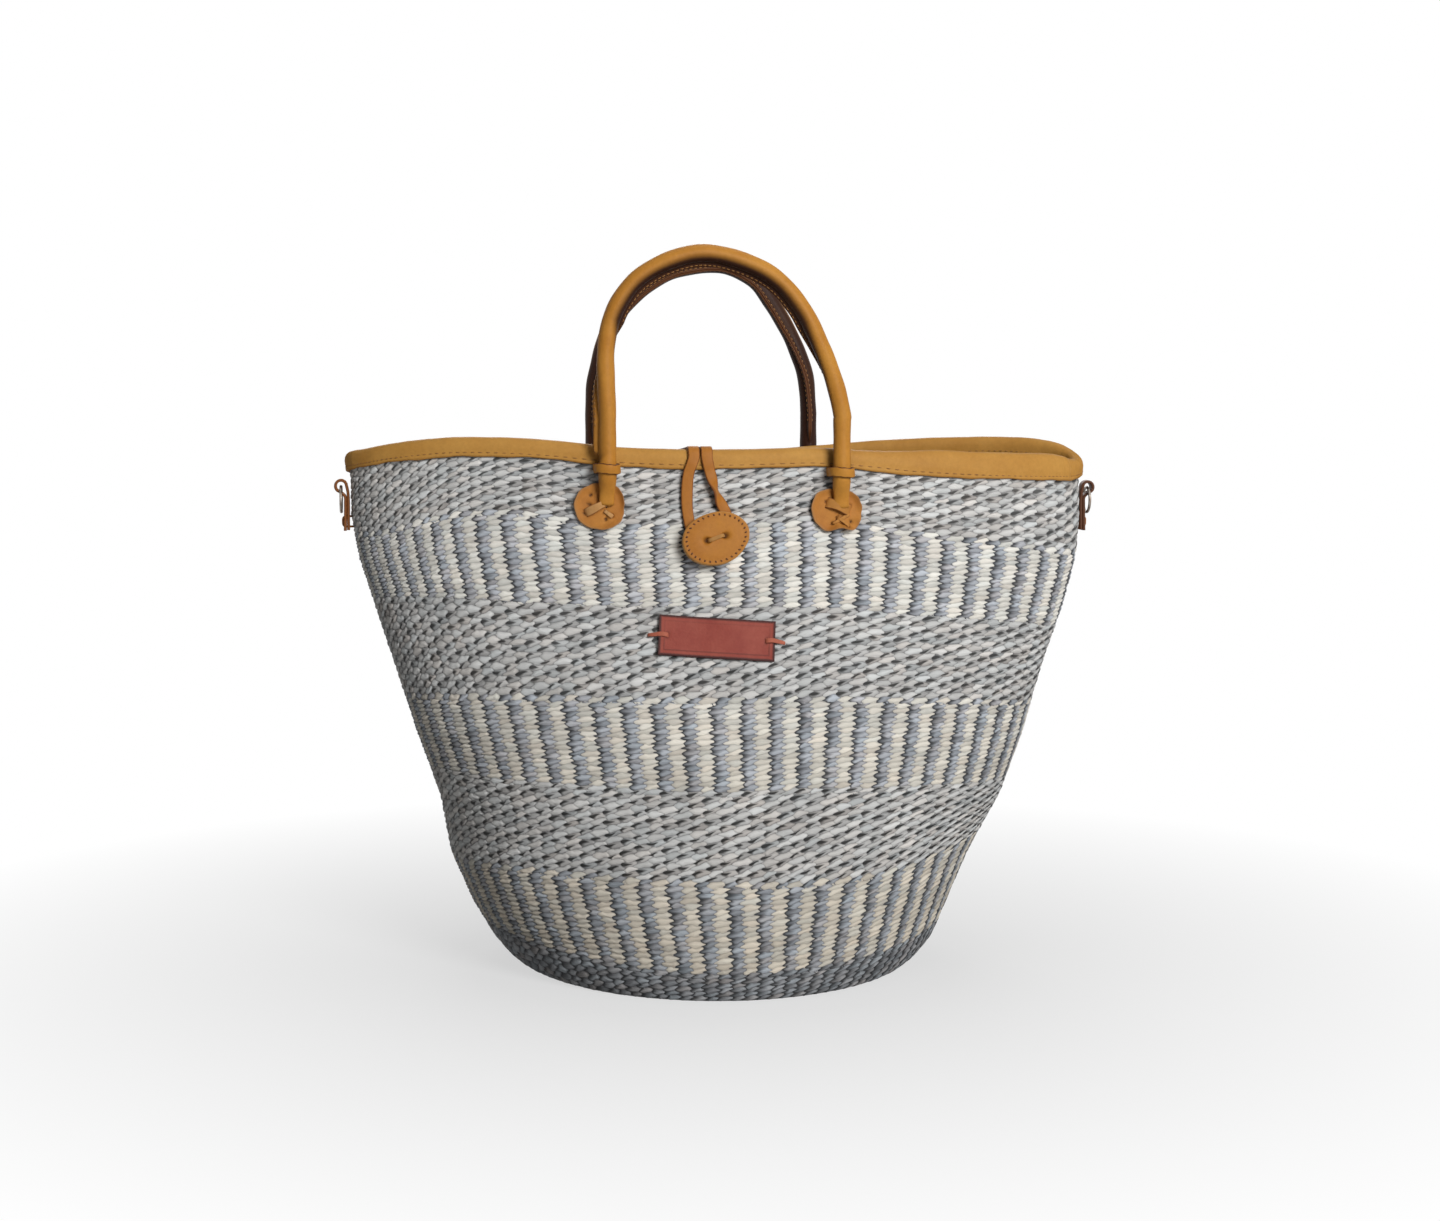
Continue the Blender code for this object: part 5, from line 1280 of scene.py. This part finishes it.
for end in (LEFT, RIGHT):
    word = END_WORDS[end]
    eye = RING_EYE[end]
    corners = [(-0.00425, -TAB_TAIL), (-0.00430, -0.0190), (-0.00440, -0.0110), (-0.00415, -0.0040)]
    for step in range(9):
        angle = math.pi - (math.pi * 1.42) * step / 8
        corners.append((TAB_EYE_RADIUS * math.cos(angle), TAB_EYE_RADIUS * math.sin(angle) * 1.05))
    corners += [(-0.0023, -0.0062), (-0.00255, -0.0110), (-0.00245, -0.0190), (-0.00225, -TAB_TAIL - 0.0004)]
    path = soft_path([(eye[0] + end * out, 0.0, eye[2] + up) for out, up in corners], 0.0007)
    half = TAB_HALF_WIDTH * (1 + 0.05 * np.sin(np.linspace(0, 14, len(path)) + end))
    tab = strip_net(path, (0, 1, 0), half, TAB_HALF_THICKNESS)
    show_strips(word + "_ring_tab_folded", [tab], TAB_LEATHER[end], "basket", word + "_ring_tab")
    low = eye[2] - TAB_TAIL + TAB_TIE_RISE
    tie_corners = [(eye[0] + end * out, 0.0, low + up) for out, up in (
        (-0.0090, -0.0031), (-0.0030, -0.0031), (-0.0012, -0.0022), (-0.0009, 0.0), (-0.0012, 0.0022),
        (-0.0030, 0.0031), (-0.0090, 0.0031))]
    tie_path = soft_path(tie_corners, 0.0006)
    tie = strip_net(tie_path, (0, 1, 0), THONG_HALF_WIDTH, THONG_HALF_THICKNESS)
    show_strips(word + "_tab_thong", [tie], SUEDE_THONG, "basket", word + "_ring_tab_tie")
    along, about = np.meshgrid(round_angles(72), round_angles(14), indexing="ij")
    reach = RING_RADIUS + RING_WIRE * np.cos(about)
    points = np.stack([eye[0] + RING_WIRE * np.sin(about), -reach * np.sin(along),
                       RING_TOP[end] - RING_RADIUS + reach * np.cos(along)], axis=-1)
    ring_mesh = quad_mesh(word + "_ring_wire", np.concatenate([points, points[:1]]), {})
    show(word + "_ring_wire", ring_mesh, RING_METAL, word + "_ring", "ring_steel", word + "_ring")

# Studio. A pale floor, a broad soft lamp from the front and right, weaker ones overhead and behind,
# and a pale surrounding. The camera stands where the photo's angle and proportions put it.
CAMERA_DISTANCE = 1.53
CAMERA_HEIGHT = 0.358
CAMERA_TURN = -7.0
CAMERA_DIP = 5.3
CAMERA_LENS = 61.475
CAMERA_SHIFT = 0.00486
SENSOR_WIDTH = 36

FLOOR_TONE = (0.46, 0.46, 0.46)


def seen_straight(tone):
    """1 for what the eye meets straight, in a mirror or through glass, 0 for the light it gives."""
    camera, glossy, clear = (tone.new("LightPath", None, None, "Is " + kind + " Ray")
                             for kind in ("Camera", "Glossy", "Transmission"))
    return (camera + glossy + clear).clamped()


studio, floor_shader, ground = new_finish("pale studio floor", 0.9, Specular_IOR_Level=0.1,
                                          Base_Color=(*FLOOR_TONE, 1.0))
x, y, _ = ground.parts()
far = ((x * x + y * y) ** 0.5).between(0.16, 0.60)
seen = seen_straight(ground) * (0.62 + 0.38 * far)
white = ground.new("Emission")
shown = ground.new("MixShader", None, {0: seen, 1: Tone(floor_shader.outputs[0]), 2: white})
studio.node_tree.links.new(shown.socket, studio.node_tree.nodes["Material Output"].inputs["Surface"])
floor_mesh = bpy.data.meshes.new("floor")
floor_mesh.from_pydata([(-6, -6, 0), (6, -6, 0), (6, 6, 0), (-6, 6, 0)], [], [(0, 1, 2, 3)])
floor_mesh.materials.append(studio)
floor = bpy.data.objects.new("floor", floor_mesh)
bpy.context.scene.collection.objects.link(floor)


def lamp(name, place, target, size, power):
    """A round lamp that is turned to a target."""
    data = bpy.data.lights.new(name, "AREA")
    data.shape = "DISK"
    data.size = size
    data.energy = power
    light = bpy.data.objects.new(name, data)
    light.location = place
    light.rotation_euler = (Vector(target) - Vector(place)).to_track_quat("-Z", "Y").to_euler()
    bpy.context.scene.collection.objects.link(light)


lamp("key lamp", (0.85, -2.2, 1.2), (0, 0, 0.15), 1.2, 58)
lamp("top lamp", (0.3, 0.3, 2.2), (0, 0, 0.1), 1.6, 8)
lamp("back lamp", (0.1, 2.3, 1.3), (0, 0, 0.15), 1.5, 20)

world = bpy.data.worlds.new("studio")
bpy.context.scene.world = world
world.use_nodes = True
background = world.node_tree.nodes["Background"]
strength = 0.07 + 0.93 * seen_straight(Tone(background.outputs[0]))
world.node_tree.links.new(strength.socket, background.inputs["Strength"])
background.inputs["Color"].default_value = (1, 1, 1, 1)

camera_data = bpy.data.cameras.new("camera")
camera_data.sensor_width = SENSOR_WIDTH
camera_data.lens = CAMERA_LENS
camera_data.shift_x = CAMERA_SHIFT
camera = bpy.data.objects.new("camera", camera_data)
azimuth = math.radians(CAMERA_TURN)
camera.location = (CAMERA_DISTANCE * math.sin(azimuth), -CAMERA_DISTANCE * math.cos(azimuth), CAMERA_HEIGHT)
camera.rotation_euler = (math.radians(90 - CAMERA_DIP), 0, azimuth)
bpy.context.scene.collection.objects.link(camera)
bpy.context.scene.camera = camera
bpy.context.scene.view_settings.view_transform = "Standard"
